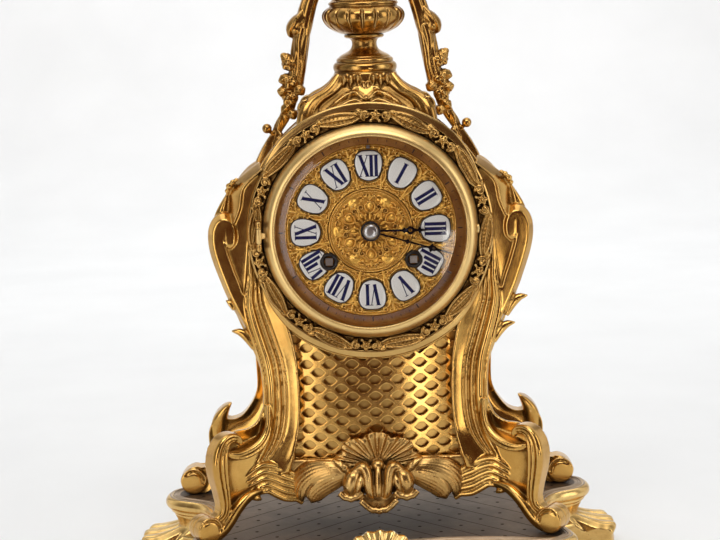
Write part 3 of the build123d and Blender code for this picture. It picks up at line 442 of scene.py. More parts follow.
def minute_ring():
    """copper-brown chapter ring worn through to gold, with a milled minute track"""
    m = NT("minute_ring")
    m.p.inputs["Metallic"].default_value = 1.0
    big = m.noise(75, 5, 0.62)
    fine = m.noise(1400, 3, 0.55)
    col = m.mix(m.ramp(big, [(0.35, 0.0), (0.68, 1.0)]), (0.35, 0.150, 0.042), (0.56, 0.270, 0.084))
    # painted shade: ambient occlusion darkens the recesses towards dark brown
    occ = m.ramp(m.ao(0.0014), [(0.35, 1.0), (0.85, 0.0)])
    col = m.mix(m.math("MULTIPLY", occ, 0.8), col, (0.10, 0.035, 0.010))
    m.link(col, m.p.inputs["Base Color"])
    m.link(m.math("ADD", m.math("MULTIPLY", big, 0.2), 0.24), m.p.inputs["Roughness"])
    m.bump(fine, 0.08, 0.0003)
    return m.mat


MINUTE = minute_ring()


def enamel():
    """glazed white enamel, faintly uneven, with fine crackle, and painted shade (ambient occlusion) darkening it to
    buff at the rim
    """
    m = NT("white_enamel")
    big = m.noise(120, 4, 0.55)
    v = m.new("ShaderNodeTexVoronoi", feature="DISTANCE_TO_EDGE")
    v.inputs["Scale"].default_value = 420
    m.link(m.obj(), v.inputs["Vector"])
    crack = m.ramp(v.outputs["Distance"], [(0.0, 0.16), (0.012, 0.0)])
    col = m.mix(m.ramp(big, [(0.35, 0.0), (0.7, 1.0)]), (0.93, 0.94, 0.945), (0.97, 0.97, 0.965))
    col = m.mix(crack, col, (0.42, 0.38, 0.33))
    # painted shade: ambient occlusion darkens the enamel to buff at the rim and beside raised parts
    occ = m.ramp(m.ao(0.0007), [(0.35, 0.35), (0.8, 0.0)])
    col = m.mix(occ, col, (0.34, 0.28, 0.20))
    m.link(col, m.p.inputs["Base Color"])
    m.link(m.math("ADD", m.math("MULTIPLY", big, 0.10), 0.06), m.p.inputs["Roughness"])
    m.p.inputs["Coat Weight"].default_value = 0.5
    m.p.inputs["Coat Roughness"].default_value = 0.06
    m.bump(big, 0.05, 0.0006)
    return m.mat


def painted(name, a, b, rough):
    m = NT(name)
    big = m.noise(160, 4, 0.6)
    col = m.mix(m.ramp(big, [(0.35, 0.0), (0.68, 1.0)]), a, b)
    m.link(col, m.p.inputs["Base Color"])
    m.link(m.math("ADD", m.math("MULTIPLY", big, 0.16), rough - 0.08), m.p.inputs["Roughness"])
    m.bump(m.noise(900, 2), 0.05, 0.0003)
    return m.mat


ENAMEL = enamel()
NAVY = painted("numeral_blue", (0.008, 0.013, 0.072), (0.018, 0.026, 0.12), 0.22)
BLACK = painted("black_collet", (0.007, 0.006, 0.006), (0.014, 0.012, 0.011), 0.46)
DARKLINE = painted("plaque_edge", (0.020, 0.013, 0.010), (0.05, 0.028, 0.018), 0.4)


def engraved():
    """dull brown-grey gilding on the base, scored with slanting lines and punched dots, mirrored about the middle"""
    m = NT("engraved_gilt")
    m.p.inputs["Metallic"].default_value = 1.0
    sep = m.new("ShaderNodeSeparateXYZ")
    m.link(m.obj(), sep.inputs[0])
    x, y = m.math("ABSOLUTE", sep.outputs[0]), sep.outputs[1]
    s, c = math.sin(math.radians(46)), math.cos(math.radians(46))
    pitch = 0.0172
    across = m.math("ADD", m.math("MULTIPLY", y, c / pitch), m.math("MULTIPLY", x, s / pitch))
    along = m.math("SUBTRACT", m.math("MULTIPLY", x, c / pitch), m.math("MULTIPLY", y, s / pitch))
    fa = m.math("ABSOLUTE", m.math("SUBTRACT", m.math("FRACT", across), 0.5))
    line = m.ramp(fa, [(0.474, 0.0), (0.489, 1.0)])
    fb = m.math("SUBTRACT", m.math("FRACT", along), 0.5)
    fa2 = m.math("SUBTRACT", m.math("FRACT", across), 0.5)
    d = m.math("SQRT", m.math("ADD", m.math("MULTIPLY", fb, fb), m.math("MULTIPLY", fa2, fa2)))
    dot = m.ramp(d, [(0.052, 1.0), (0.075, 0.0)])
    mark = m.math("MAXIMUM", line, dot)
    big = m.noise(35, 5, 0.62)
    mid = m.noise(260, 5, 0.65)
    col = m.mix(m.ramp(big, [(0.3, 0.0), (0.72, 1.0)]), (0.145, 0.106, 0.074), (0.29, 0.220, 0.158))
    col = m.mix(m.ramp(mid, [(0.42, 0.35), (0.6, 0.0)]), col, (0.10, 0.066, 0.036))
    # painted shade: ambient occlusion over 45 mm darkens the plate beneath the case and legs
    shade = m.ramp(m.ao(0.045), [(0.30, 0.80), (0.92, 0.0)])
    col = m.mix(shade, col, (0.070, 0.053, 0.040))
    col = m.mix(m.math("MULTIPLY", mark, 0.9), col, (0.022, 0.014, 0.009))
    m.link(col, m.p.inputs["Base Color"])
    r = m.math("ADD", m.math("MULTIPLY", mid, 0.20), 0.42)
    m.link(m.math("ADD", r, m.math("MULTIPLY", mark, 0.3), clamp=True), m.p.inputs["Roughness"])
    m.bump(m.math("SUBTRACT", m.math("MULTIPLY", mid, 0.25), mark), 0.5, 0.0005)
    return m.mat


ENGRAVED = engraved()
BORDER = gold_flat("border_gilt", (0.52, 0.40, 0.28), (0.34, 0.255, 0.175), 0.38, 90, ao_dist=0.003, dark=(0.09, 0.06, 0.04))


def glass():
    """clear dome with a bevelled edge; the bevel throws back more light"""
    m = NT("dial_glass")
    t = m.t
    t.nodes.remove(m.p)
    out = [n for n in t.nodes if n.type == "OUTPUT_MATERIAL"][0]
    tr = m.new("ShaderNodeBsdfTransparent")
    tr.inputs[0].default_value = (0.985, 0.988, 0.985, 1)
    gl = m.new("ShaderNodeBsdfGlossy")
    gl.inputs["Roughness"].default_value = 0.05
    gl.inputs["Color"].default_value = (1, 1, 1, 1)
    fr = m.new("ShaderNodeFresnel")
    fr.inputs["IOR"].default_value = 1.45
    sep = m.new("ShaderNodeSeparateXYZ")
    m.link(m.obj(), sep.inputs[0])
    dz = m.math("SUBTRACT", sep.outputs[2], ZD * MM)
    rad = m.math("SQRT", m.math("ADD", m.math("MULTIPLY", sep.outputs[0], sep.outputs[0]), m.math("MULTIPLY", dz, dz)))
    bevel = m.ramp(m.math("MULTIPLY", rad, 10.0), [(0.485, 0.0), (0.492, 0.004), (0.53, 0.004)])
    smear = m.ramp(m.noise(55, 4, 0.6), [(0.45, 0.0), (0.8, 0.010)])
    mx = m.new("ShaderNodeMixShader")
    fac = m.math("ADD", m.math("MULTIPLY", fr.outputs[0], 0.55), m.math("ADD", smear, bevel), clamp=True)
    m.link(fac, mx.inputs[0])
    m.link(tr.outputs[0], mx.inputs[1])
    m.link(gl.outputs[0], mx.inputs[2])
    m.link(mx.outputs[0], out.inputs[0])
    return m.mat


GLASS = glass()


# ------------------------------------------------------------------ flat pieces with holes
def plate(mesh, outlines, y_front, y_rear, bevel=0.3, segs=2, flip=False):
    """closed outlines in (x, z), holes included, made solid between two depths with rounded edges"""
    cu = bpy.data.curves.new("tmp", "CURVE")
    cu.dimensions, cu.fill_mode = "2D", "BOTH"
    for pts in outlines:
        sp = cu.splines.new("POLY")
        sp.points.add(len(pts) - 1)
        sp.points.foreach_set("co", np.concatenate([np.asarray(pts, float), np.zeros((len(pts), 1)), np.ones((len(pts), 1))], 1).ravel())
        sp.use_cyclic_u = True
    half = (y_rear - y_front) / 2
    cu.bevel_depth, cu.bevel_resolution = bevel, segs
    cu.extrude = max(half - bevel, 0.001)
    cu.offset = -bevel
    ob = bpy.data.objects.new("tmp", cu)
    bpy.context.scene.collection.objects.link(ob)
    dg = bpy.context.evaluated_depsgraph_get()
    me = bpy.data.meshes.new_from_object(ob.evaluated_get(dg))
    v = np.empty(len(me.vertices) * 3)
    me.vertices.foreach_get("co", v)
    v = v.reshape(-1, 3)
    F = [tuple(p.vertices) for p in me.polygons]
    bpy.data.objects.remove(ob)
    bpy.data.meshes.remove(me)
    bpy.data.curves.remove(cu)
    V = np.stack([v[:, 0], (y_front + y_rear) / 2 - v[:, 2], v[:, 1]], 1)
    return mesh.add(V, F)


def circle(r, n=120, c=(0.0, ZD)):
    a = np.linspace(0, 2 * pi, n, endpoint=False)
    return np.stack([c[0] + r * np.cos(a), c[1] + r * np.sin(a)], 1)


def both(half):
    """closed outline from the x>=0 half"""
    h = np.asarray(half, float)
    return np.concatenate([h, (h * [-1, 1])[::-1][(h[::-1, 0] > 1e-6)]])


def inset(pts, d):
    pts = np.asarray(pts, float)
    t = unit(np.roll(pts, -1, 0) - np.roll(pts, 1, 0))
    return np.stack([pts[:, 0] - t[:, 1] * d, pts[:, 1] + t[:, 0] * d], 1)


# ------------------------------------------------------------------ base
base_half = [(0, -74), (40, -70), (70, -72), (98, -78), (113, -66), (112, -50), (104, -25), (102, 0), (110, 25), (128, 38), (135, 52),
             (131, 68), (115, 76), (80, 78), (0, 80)]
base_out = cr(both(base_half), 14, closed=True)
prof = cr([(9.0, 40.6), (6.3, 41.5), (5.0, 42.0), (3.0, 41.9), (1.2, 41.0), (0.1, 39.0), (0.2, 36.8), (1.4, 35.0), (2.9, 34.3), (3.2, 33.5), (3.3, 32.5),
           (4.5, 31.9), (5.1, 31.2), (5.3, 30.0), (6.6, 27.5), (7.6, 24.4), (7.4, 21.6), (6.0, 19.6), (4.6, 18.8), (4.1, 17.8), (4.2, 16.4),
           (5.4, 16.0), (10.5, 16.0), (11.8, 17.0), (12.0, 28.0), (12.0, 38.4)], 3, closed=True)
ring = np.stack([np.concatenate([inset(base_out, d), np.full((len(base_out), 1), z)], 1) for d, z in prof])
m = M().grid(ring, cu=True, cv=True)
build("base_plinth", m, GILT_BASE, "case", ["base_plinth"], sharp=60)

m = M()
ins = inset(base_out, 2.6)
lvl = [np.concatenate([ins, np.full((len(ins), 1), 39.0)], 1)]
for d, z in ((2.6, 41.6), (2.7, 42.0), (3.0, 42.25), (3.5, 42.3), (4.0, 42.2), (4.3, 42.0), (4.7, 42.0), (5.0, 42.45), (5.5, 42.5), (5.8, 42.05), (6.3, 42.0), (6.6, 42.4), (7.1, 42.45), (7.4, 42.05), (7.9, 42.0), (8.2, 42.35), (8.6, 42.35), (8.9, 42.0)):
    P_ = inset(base_out, d)
    lvl.append(np.concatenate([P_, np.full((len(P_), 1), z)], 1))
P_ = inset(base_out, 9.2)
lvl.append(np.concatenate([P_, np.full((len(P_), 1), 42.0)], 1))
lvl.append(np.concatenate([P_, np.full((len(P_), 1), 39.0)], 1))
m.grid(np.stack(lvl), cu=True, cv=True)
build("base_top_border", m, BORDER, "case", [], sharp=50)
m = M()
lvl = [np.concatenate([P_, np.full((len(P_), 1), 39.0)], 1), np.concatenate([P_, np.full((len(P_), 1), 42.0)], 1)]
for f in (0.98, 0.9, 0.8, 0.6, 0.4, 0.2, 0.02):
    lvl.append(np.concatenate([P_ * f, np.full((len(P_), 1), 42.0)], 1))
lvl.append(np.concatenate([P_ * 0.02, np.full((len(P_), 1), 39.0)], 1))
m.grid(np.stack(lvl), cu=True, cv=True)
build("base_top_plate", m, ENGRAVED, "case", ["base_top_plate"], sharp=50)


def foot(mesh, c, axis_deg, reach, w0, w1, folds=3):
    """bracket foot: a leaf with broad folds runs out and down from the plinth to a thick scalloped tip, with a plain block below"""
    s_rows = [(-0.42, 36.0), (-0.20, 35.2), (-0.04, 32.8), (0.12, 29.2), (0.28, 25.4), (0.46, 21.8), (0.64, 19.0), (0.80, 17.3), (0.91, 16.8), (0.975, 15.9), (1.0, 14.1), (0.985, 12.3),
              (0.955, 11.0), (0.95, 9.4), (0.962, 8.2), (0.965, 4.6), (0.972, 2.6), (0.96, 1.0), (0.93, 0.0), (0.70, 0.0), (0.40, 0.0), (0.10, 0.0), (-0.2, 2.0), (-0.42, 12.0)]
    rows = cr(s_rows, 4)
    nv = 121
    v = np.linspace(-1, 1, nv)
    a = math.radians(axis_deg)
    ax, bx = np.array([math.cos(a), math.sin(a)]), np.array([-math.sin(a), math.cos(a)])
    fold = np.abs(np.cos(pi * folds * v / 2)) ** 0.8
    fine = np.cos(2 * pi * folds * 2 * v)
    G = np.zeros((len(rows), nv, 3))
    for i, (s, z) in enumerate(rows):
        upper = i <= len(rows) * 0.47
        k = np.clip(s * 2.4, 0, 1) if upper else 0.0
        tip = np.clip((s - 0.5) / 0.45, 0, 1)
        hw = np.interp(s, [-0.4, 0.0, 0.35, 0.75, 1.0], [w0, w0, w0 * 0.94, w1 * 0.98, w1])
        if not upper:
            hw = hw * 0.985
        out = reach * s * (1 - 0.10 * np.clip(s, 0, 1) * np.abs(v) ** 3.0)
        out = out - (1.1 if upper else 0.3) * tip * (1 - fold)
        steep = np.clip((s + 0.12) / 0.2, 0, 1) * np.clip((0.5 - s) / 0.3, 0, 1) if upper else 0.0
        out = out + steep * 1.7 * (fold - 0.7)
        zz = z + (k * (2.1 * (fold - 0.7) + 0.22 * fine * tip) - 1.6 * k * np.abs(v) ** 4 if upper else 0.0)
        p = np.asarray(c)[None] + ax[None] * out[:, None] + bx[None] * (v * hw)[:, None]
        G[i, :, :2] = p
        G[i, :, 2] = np.maximum(zz, 0.0)
    mesh.grid(G, cu=True)
    for e in (0, -1):
        mesh.add(np.concatenate([G[:, e], G[:, e].mean(0)[None]]), [(k, (k + 1) % len(rows), len(rows)) for k in range(len(rows))])
    return mesh


m = M()
foot(m, (107, 57), 6, 44.2, 17, 21.5)
foot(m, (88, -47), -47, 36.0, 14, 15.5)
m2 = M()
m2.join(m).join(m, mirror=True)
build("base_feet", m2, GILT_BASE, "case", ["base_feet"], voxel=0.66, smooth=2)

# shell in the middle of the base front
m = M()
nv, nu = 85, 26
v = np.linspace(-1, 1, nv)
for side in (1,):
    ph = pi / 2 + v * 2.05
    G, B = [], []
    for t in np.linspace(0, 1, nu):
        R = 19.5 * (1 + 0.05 * np.cos(ph * 2))
        r = 1.5 + (R - 1.5) * t * (1 + 0.045 * np.clip(t * 2 - 1, 0, 1) * np.cos(pi * 11 * v))
        flute = np.cos(pi * 11 * v) * 0.75 * min(1, t * 1.8)
        dome = 5.6 * math.sin(pi * min(1, 0.18 + 0.72 * t)) + flute
        x, z = r * np.cos(ph) * 1.06, 33.5 + r * np.sin(ph) * 0.92
        y = -72.5 - dome + 0.0022 * x * x
        G.append(np.stack([x, y, z], 1))
        B.append(np.stack([x * 0.98, np.maximum(y + 2.5, -73.5), z], 1))
    m.sheet(np.stack(G), np.stack(B))
for s in (1, -1):
    P = spiral(s * 15.5, 23.0, 7.5, 1.2, 80 if s > 0 else 100, (80 - 480) if s > 0 else (100 + 480), 30, 0.8)
    rows = [(x, -74.2 - 2.2 * i / 30, z, 2.1 - 1.0 * i / 30, 2.0 - 0.6 * i / 30) for i, (x, z) in enumerate(P)]
    strand(m, rows, "round", n=2, back=1.2)
    leaf(m, [(s * 14, -72.5, 21, 1.5, 1.0), (s * 19, -74, 24.5, 3.6, 1.6), (s * 24.5, -73.8, 29, 3.4, 1.6), (s * 29, -72.4, 31.5, 0.5, 0.6)], n=7, lobes=4)
ball(m, (0, -78.4, 24.5), 3.0)
strand(m, [(-9, -74.4, 18.5, 1.6, 1.6), (-4, -76.6, 16.8, 2.0, 2.0), (0, -77.2, 16.4, 2.2, 2.2), (4, -76.6, 16.8, 2.0, 2.0), (9, -74.4, 18.5, 1.6, 1.6)], "round", n=6)
build("base_shell_mount", m, GILT_BASE, "case", ["base_shell_mount"], sharp=50)

# ------------------------------------------------------------------ case front, trellis, backing
front_edge = cr([(66, 192), (61, 185), (58, 170), (57, 158), (52, 138), (50, 123), (53, 100), (58, 88), (58.5, 70)], 6)
R_WINDOW = 76.0


def window(grow, gap):
    r = R_WINDOW + gap
    right = cr([(49.0 + grow, 160.0), (46.6 + grow, 146), (44.6 + grow, 130), (44.5 + grow, 122), (45.2 + grow, 108), (47.0 + grow, 95), (49.0 + grow, 83 + gap)], 6)
    right[0] = (right[0][0], ZD - math.sqrt(r * r - right[0][0] ** 2))
    right = right[(np.arange(len(right)) == 0) | (right[:, 1] < right[0][1] - 0.4)]
    a1 = math.asin(right[0][0] / r)
    t = np.linspace(-1, 1, 41)[1:-1]
    top = np.stack([r * np.sin(a1 * t), ZD - r * np.cos(a1 * t)], 1)
    return np.concatenate([(right * [-1, 1])[::-1], top, right])


# outline of the disc and waisted body as one closed line
a_out = np.degrees(np.arctan2(66.0, 192 - ZD))
arc = np.radians(np.linspace(0, a_out - 1.5, 70))
half = np.concatenate([np.stack([74 * np.sin(arc), ZD + 74 * np.cos(arc)], 1), front_edge[1:]])
m = M()
plate(m, [both(half), circle(58.0, 150), window(0, 0)], -32.0, -27.0, 0.8, 3)
build("case_front", m, GILT, "case", ["case_front"], sharp=40)

m = M()
faced(m, cr([(69.8, -31.0), (69.85, -34.6), (70.1, -35.6), (70.9, -35.75), (72.2, -35.5), (73.4, -35.25), (74.2, -34.9), (74.55, -34.2), (74.5, -32.2), (74.3, -27.2), (73.2, -27.0), (71.5, -30.6)], 4, True), 200)


def narrow(V):
    r = np.hypot(V[:, 0], V[:, 2] - ZD)
    c = (V[:, 2] - ZD) / np.maximum(r, 1e-6)
    k = 0.34 + 0.66 * np.clip((-c - 0.45) / 0.3, 0, 1) + 0.66 * np.clip((c - 0.48) / 0.25, 0, 1)
    f = (69.8 + (r - 69.8) * k) / r
    return np.stack([V[:, 0] * f, V[:, 1], ZD + (V[:, 2] - ZD) * f], 1)


m.move(narrow)
build("case_front_band", m, BAND, "case", [], sharp=50)

TR = (44.2 ** 2 + 5.4 ** 2) / (2 * 5.4)


def bow(x):
    x = np.clip(np.abs(x), 0, 44.2)
    return -27 - (np.sqrt(TR ** 2 - x * x) - (TR - 5.4))


CW, CH = 13.3, 9.7
m = M()
K = 32
th = np.linspace(0, 2 * pi, K, endpoint=False)
c_, s_ = np.cos(th), np.sin(th)
k1 = 1 / (np.abs(c_) / (CW / 2) + np.abs(s_) / (CH / 2))
outer = np.stack([c_ * k1, s_ * k1], 1)
ha, hb, hf = 4.0, 2.7, 0.42
k2 = 1.0 / ((np.abs(hb * c_ + (1 - hf) * ha * np.abs(s_) * np.sign(c_)) / (ha * hb)) ** 6 + np.abs(s_ / hb) ** 6) ** (1 / 6.0)
hole = np.stack([c_ * k2, s_ * k2], 1)
for row in range(-11, 12):
    for col in range(-5, 6):
        cx = col * CW + (CW / 2 if row % 2 else 0.0)
        cz = 120.0 + row * CH / 2
        if abs(cx) > 47 or cz < 79 or cz > ZD - math.sqrt(80.5 ** 2 - min(cx * cx, 6000)) + 7:
            continue
        rings = []
        for (a, b, dy) in ((1.0, 0.0, 0.0), (0.6, 0.4, 0.0), (0.3, 0.7, 0.0), (0.09, 0.91, 0.02), (0.03, 0.97, 0.09), (0.0, 1.0, 0.28), (0.0, 1.0, 2.2)):
            q = outer * a + hole * b
            x, z = cx + q[:, 0], cz + q[:, 1]
            rings.append(np.stack([x, bow(x) + dy, z], 1))
        m.grid(np.stack(rings), cv=True)
build("trellis_panel", m, TRELLIS, "case", ["trellis_panel"], sharp=48)

m = M()
X, Z = np.meshgrid(np.linspace(-51, 51, 70), np.linspace(80, 162, 60), indexing="ij")
top = np.stack([X, bow(X) + 3.3, Z], -1)
m.sheet(top, top + [0, 1.0, 0])
build("trellis_backing", m, BACKING, "case", ["trellis_backing"], sharp=40)

# ------------------------------------------------------------------ ring of ornament round the bezel
RM = 66.7


def on_ring(mesh, deg, R=RM, y0=-34.6):
    """flat (along, -height, outward) coordinates bent on to the ring at an angle clockwise from twelve"""
    def f(V):
        th = math.radians(deg) + V[:, 0] / R
        r = R + V[:, 2]
        return np.stack([r * np.sin(th), y0 + V[:, 1], ZD + r * np.cos(th)], 1)
    return mesh.move(f)


def knot(v):
    """blossom between two C scrolls"""
    o = M()
    flower(o, (0.0 + v, -1.3, 0.3), 3.1, 5, turn=0.3, h=1.7)
    for s in (1, -1):
        P = spiral(s * 5.6, 0.3, 3.0, 0.9, -100, -100 + s * 400, 20, 0.9)
        rows = [(x, -0.9 - 0.05 * i, z, 1.12 - 0.02 * i, 1.7) for i, (x, z) in enumerate(P)]
        strand(o, rows, "round", n=2, m=7, back=1.4)
        ball(o, (s * 5.6, -2.2, 0.3), 1.1, 6, 8)
        ball(o, (s * 2.6, -1.9, -2.9), 1.1, 6, 8)
        leaf(o, [(s * 7.0, -0.8, 2.0, 1.0, 0.9), (s * 9.0, -1.4, 3.0, 1.9, 1.2), (s * 11.2, -1.4, 2.2, 1.5, 1.0), (s * 12.8, -0.6, 0.8, 0.4, 0.4)], n=4, m=9, lobes=2, vein=0.3, thick=1.8, mid=0.4)
    return o


def pod(v):
    """lens-shaped leaf with a rolled border and feathered veins, turning over at one end"""
    o = M()
    leaf(o, [(-12.5, -0.5, 2.0, 0.6, 0.7), (-8.0, -1.0, 1.2, 2.2, 1.3), (-2.5, -1.3, 0.2, 3.0, 1.7), (3.0, -1.3, -0.3, 2.9, 1.7), (8.0, -1.0, -0.2, 2.1, 1.4), (12.5, -0.5, 1.0, 0.5, 0.7)], n=7, m=15, lobes=0, cut=0.0, vein=0.45, veins=11, thick=2.2, mid=0.7)
    strand(o, [(-13.5, -0.7, 2.4, 0.7, 1.2), (-8.6, -1.3, 3.4 + v, 0.95, 1.7), (-2.5, -1.7, 3.5, 1.05, 2.0), (3.2, -1.7, 2.8, 1.05, 2.0), (8.4, -1.4, 1.8, 0.95, 1.7), (13.0, -0.8, 0.6, 0.5, 1.0)], "round", n=6, m=7, back=1.6)
    strand(o, [(-13.0, -0.6, 1.2, 0.5, 1.0), (-8.4, -1.3, -1.2, 0.9, 1.6), (-2.5, -1.7, -3.1, 1.05, 2.0), (3.2, -1.7, -3.4, 1.05, 2.0), (8.6, -1.3, -2.6 - v, 0.9, 1.6), (13.4, -0.7, -0.4, 0.6, 1.1)], "round", n=6, m=7, back=1.6)
    return o


m = M()
faced(m, cr([(62.8, -31.0), (62.85, -33.6), (63.4, -34.1), (64.6, -33.5), (66.6, -33.0), (68.6, -33.4), (69.4, -34.0), (69.9, -33.6), (69.9, -31.0), (66.5, -31.0)], 4, True), 220)
for k in range(10):
    m.join(on_ring(knot(0.15 * math.sin(k * 2.1)), 36.0 * k + 4, y0=-34.0))
for k in range(10):
    m.join(on_ring(pod(0.4 * math.sin(k * 1.7)), 36.0 * k + 22, y0=-34.0))
# hinge lugs on the left
for s in (1, -1):
    z0, z1 = sorted((ZD + s * 4.3, ZD + s * 8.3))
    zc = (z0 + z1) / 2
    k = np.linspace(0, 2 * pi, 24, endpoint=False)
    rows = []
    for (r, z) in ((1.0, z0 + 0.05), (1.4, z0 + 0.05), (1.55, z0 + 0.3), (1.55, z1 - 0.3), (1.4, z1 - 0.05), (1.0, z1 - 0.05)):
        rows.append(np.stack([-64.2 + r * np.cos(k), -43.8 + r * np.sin(k), np.full(24, z)], 1))
    m.grid(np.stack(rows), cu=True, cv=True)
    strand(m, [(-64.6, -42.4, zc, 1.9, 1.4), (-64.7, -39, zc, 1.9, 1.4), (-65.2, -36.0, zc, 1.9, 2.2), (-66.0, -33.6, zc, 1.9, 3.4)], "flat", n=4, ref=(-1, 0, 0), back=0.9)
build("dial_surround", m, GILT_DEEP, "case", ["dial_surround"], voxel=0.42, smooth=1)

# ------------------------------------------------------------------ bezel and glass
m = M()
faced(m, cr([(57.0, -32.5), (59.5, -32.4), (62.1, -32.5), (62.3, -34), (62.3, -35.8), (62.1, -37.0), (61.5, -38.5), (60.6, -40.0), (59.6, -41.3), (58.5, -42.2), (57.3, -42.8),
              (56.2, -43.0), (55.5, -42.8), (55.2, -42.2), (55.3, -41.2), (55.8, -40.4), (56.25, -39.6), (56.4, -38.2), (56.8, -36.0), (56.9, -34)], 4, True), 240)
for k in range(180):
    a = 2 * pi * k / 180
    ball(m, (55.75 * math.sin(a), -42.75, ZD + 55.75 * math.cos(a)), 0.55, 5, 7)
k = np.linspace(0, 2 * pi, 24, endpoint=False)
rows = []
for (r, z) in ((1.1, ZD - 3.95), (1.4, ZD - 3.95), (1.5, ZD - 3.7), (1.5, ZD + 3.7), (1.4, ZD + 3.95), (1.1, ZD + 3.95)):
    rows.append(np.stack([-64.2 + r * np.cos(k), -43.8 + r * np.sin(k), np.full(24, z)], 1))
m.grid(np.stack(rows), cu=True, cv=True)
strand(m, [(-63.6, -43.2, ZD, 2.2, 0.6), (-62.2, -41.8, ZD, 1.9, 0.6), (-60.8, -40.8, ZD, 1.4, 0.5)], "flat", n=4, ref=(-0.3, -1, 0), back=0.8)
strand(m, [(61.4, -38, ZD, 2.6, 1.2), (62.1, -38, ZD, 2.8, 1.3), (62.55, -38, ZD, 2.4, 1.1)], "soft", n=4, back=1.0)
build("bezel_ring", m, BEZEL, "bezel", ["bezel_ring"], sharp=50)

GR = 420.0
rr = np.linspace(0.05, 49.0, 36)
yo = -43.2 + GR - np.sqrt(GR ** 2 - rr ** 2)
rb = np.linspace(49.4, 56.0, 8)
yb = yo[-1] + 0.15 + (rb - 49.4) * 0.30
ro, yy = np.concatenate([rr, rb]), np.concatenate([yo, yb])
m = M()
prof = np.concatenate([np.stack([ro, yy], 1), np.stack([ro[::-1], np.maximum(yy[::-1] + 1.2, -40.2)], 1)])
faced(m, prof, 160, closed=False)
build("bezel_glass", m, GLASS, "bezel", ["bezel_glass"], sharp=8)

# ------------------------------------------------------------------ dial
def stamp(U, V, strands):
    """height of raised strands (points, width, height) at flat places U, V"""
    H = np.zeros_like(U)
    for pts, w, h in strands:
        P = cr(pts, 6)
        W = np.linspace(1, 0.45, len(P)) if isinstance(w, float) else np.interp(np.linspace(0, 1, len(P)), np.linspace(0, 1, len(w)), w)
        w0 = w if isinstance(w, float) else 1.0
        d = np.full(U.shape, 9.0)
        for i, p in enumerate(P):
            d = np.minimum(d, np.hypot(U - p[0], V - p[1]) / (1.22 * w0 * W[i]))
        H = np.maximum(H, 1.95 * h * np.sqrt(np.maximum(0, 1 - d ** 2)))
    return H


def curl(cx, cy, r, a0, turn, n=14):
    t = np.linspace(0, 1, n)
    a = np.radians(a0 + turn * t)
    return [(cx + r * (1 - 0.72 * k) * math.cos(b), cy + r * (1 - 0.72 * k) * math.sin(b)) for k, b in zip(t, a)]


def polar_relief(mesh, r0, r1, nr, sectors, na, height, y0, y_back, mirror=True, phase=0.0):
    """relief repeated round the dial; height(u, r) for u = angle in degrees from the sector middle"""
    half = 180.0 / sectors
    a = np.linspace(-half, half, na + 1)
    r = np.linspace(r0, r1, nr)
    R, A = np.meshgrid(r, a, indexing="ij")
    Hs = height(np.abs(A) if mirror else A, R)
    Hfull = np.concatenate([Hs[:, :-1]] * sectors, 1)
    ang = np.concatenate([a[:-1] + k * 2 * half for k in range(sectors)])
    th = np.radians(ang + phase)
    top = np.stack([r[:, None] * np.sin(th), y0 - Hfull, ZD + r[:, None] * np.cos(th)], -1)
    inner = np.stack([r0 * np.sin(th), np.full_like(th, y_back), ZD + r0 * np.cos(th)], -1)[None]
    outer = np.stack([r1 * np.sin(th), np.full_like(th, y_back), ZD + r1 * np.cos(th)], -1)[None]
    return mesh.grid(np.concatenate([inner, top, outer]), cu=True, cv=True)


def dial_height(A, R):
    # flat place beside a plaque: u across (mm), v out from R 37.6
    U, V = np.radians(A) * R, R - 37.6
    lines = []
    # scrolls in the gap between plaques (sector middle is the gap)
    lines += [([(0, -13.0), (0.5, -9), (1.3, -5.2), (0.5, -1.5)], [0.75, 0.7, 0.6, 0.5], 0.55)]
    lines += [(curl(1.4, 0.9, 1.5, -110, 400), 0.55, 0.55)]
    lines += [([(0.1, 1.5), (0.5, 4.6), (2.0, 7.4), (4.3, 8.6)], [0.6, 0.8, 0.7, 0.4], 0.6)]
    lines += [(curl(4.7, 9.4, 1.6, -80, 420), 0.6, 0.6)]
    lines += [(curl(1.5, 10.4, 1.3, 200, -380), 0.5, 0.5)]
    lines += [([(0, 7.0), (0, 9.4), (0, 11.3)], [0.7, 0.95, 0.3], 0.7)]
    lines += [([(6.0, 10.9), (8.0, 10.5), (9.8, 11.1)], [0.5, 0.6, 0.3], 0.5)]
    lines += [([(2.2, 5.0), (3.4, 5.6), (4.2, 6.8)], [0.5, 0.5, 0.25], 0.5)]
    lines += [([(0.9, -10.6), (2.4, -10.9), (3.5, -10.0)], [0.5, 0.45, 0.25], 0.5)]
    lines += [([(0.6, -7.2), (1.9, -7.7), (2.6, -6.8)], [0.4, 0.4, 0.2], 0.45)]
    lines += [([(2.5, -11.9), (4.6, -11.3), (6.3, -11.9)], [0.45, 0.5, 0.3], 0.45)]
    H = stamp(U, V, lines)
    H = H + 0.13 * np.sin(U * 7.1) * np.sin(R * 6.9) * (H < 0.05)
    # raised border following each plaque
    ap_ = np.radians(15.0 - A)
    px_, pz_ = R * np.sin(ap_), R * np.cos(ap_) - 37.6
    ang_ = np.arctan2(pz_, np.abs(px_))
    ca = np.arctan2(cart[:, 1], np.abs(cart[:, 0]))
    od = np.argsort(ca)
    sc_ = np.hypot(px_, pz_) / np.interp(ang_, ca[od], np.hypot(cart[:, 0], cart[:, 1])[od])
    H = np.maximum(H, (0.62 + 0.18 * np.cos(26 * ang_)) * np.sqrt(np.maximum(0, 1 - ((sc_ - 1.20) / 0.055) ** 2)))
    # border lines
    for rc, w, h in ((25.3, 0.45, 0.7), (49.5, 0.42, 0.6), (48.5, 0.22, 0.35)):
        H = np.maximum(H, h * np.sqrt(np.maximum(0, 1 - ((R - rc) / w) ** 2)))
    H = np.where(R > 50.0, 0.0, H)
    return H


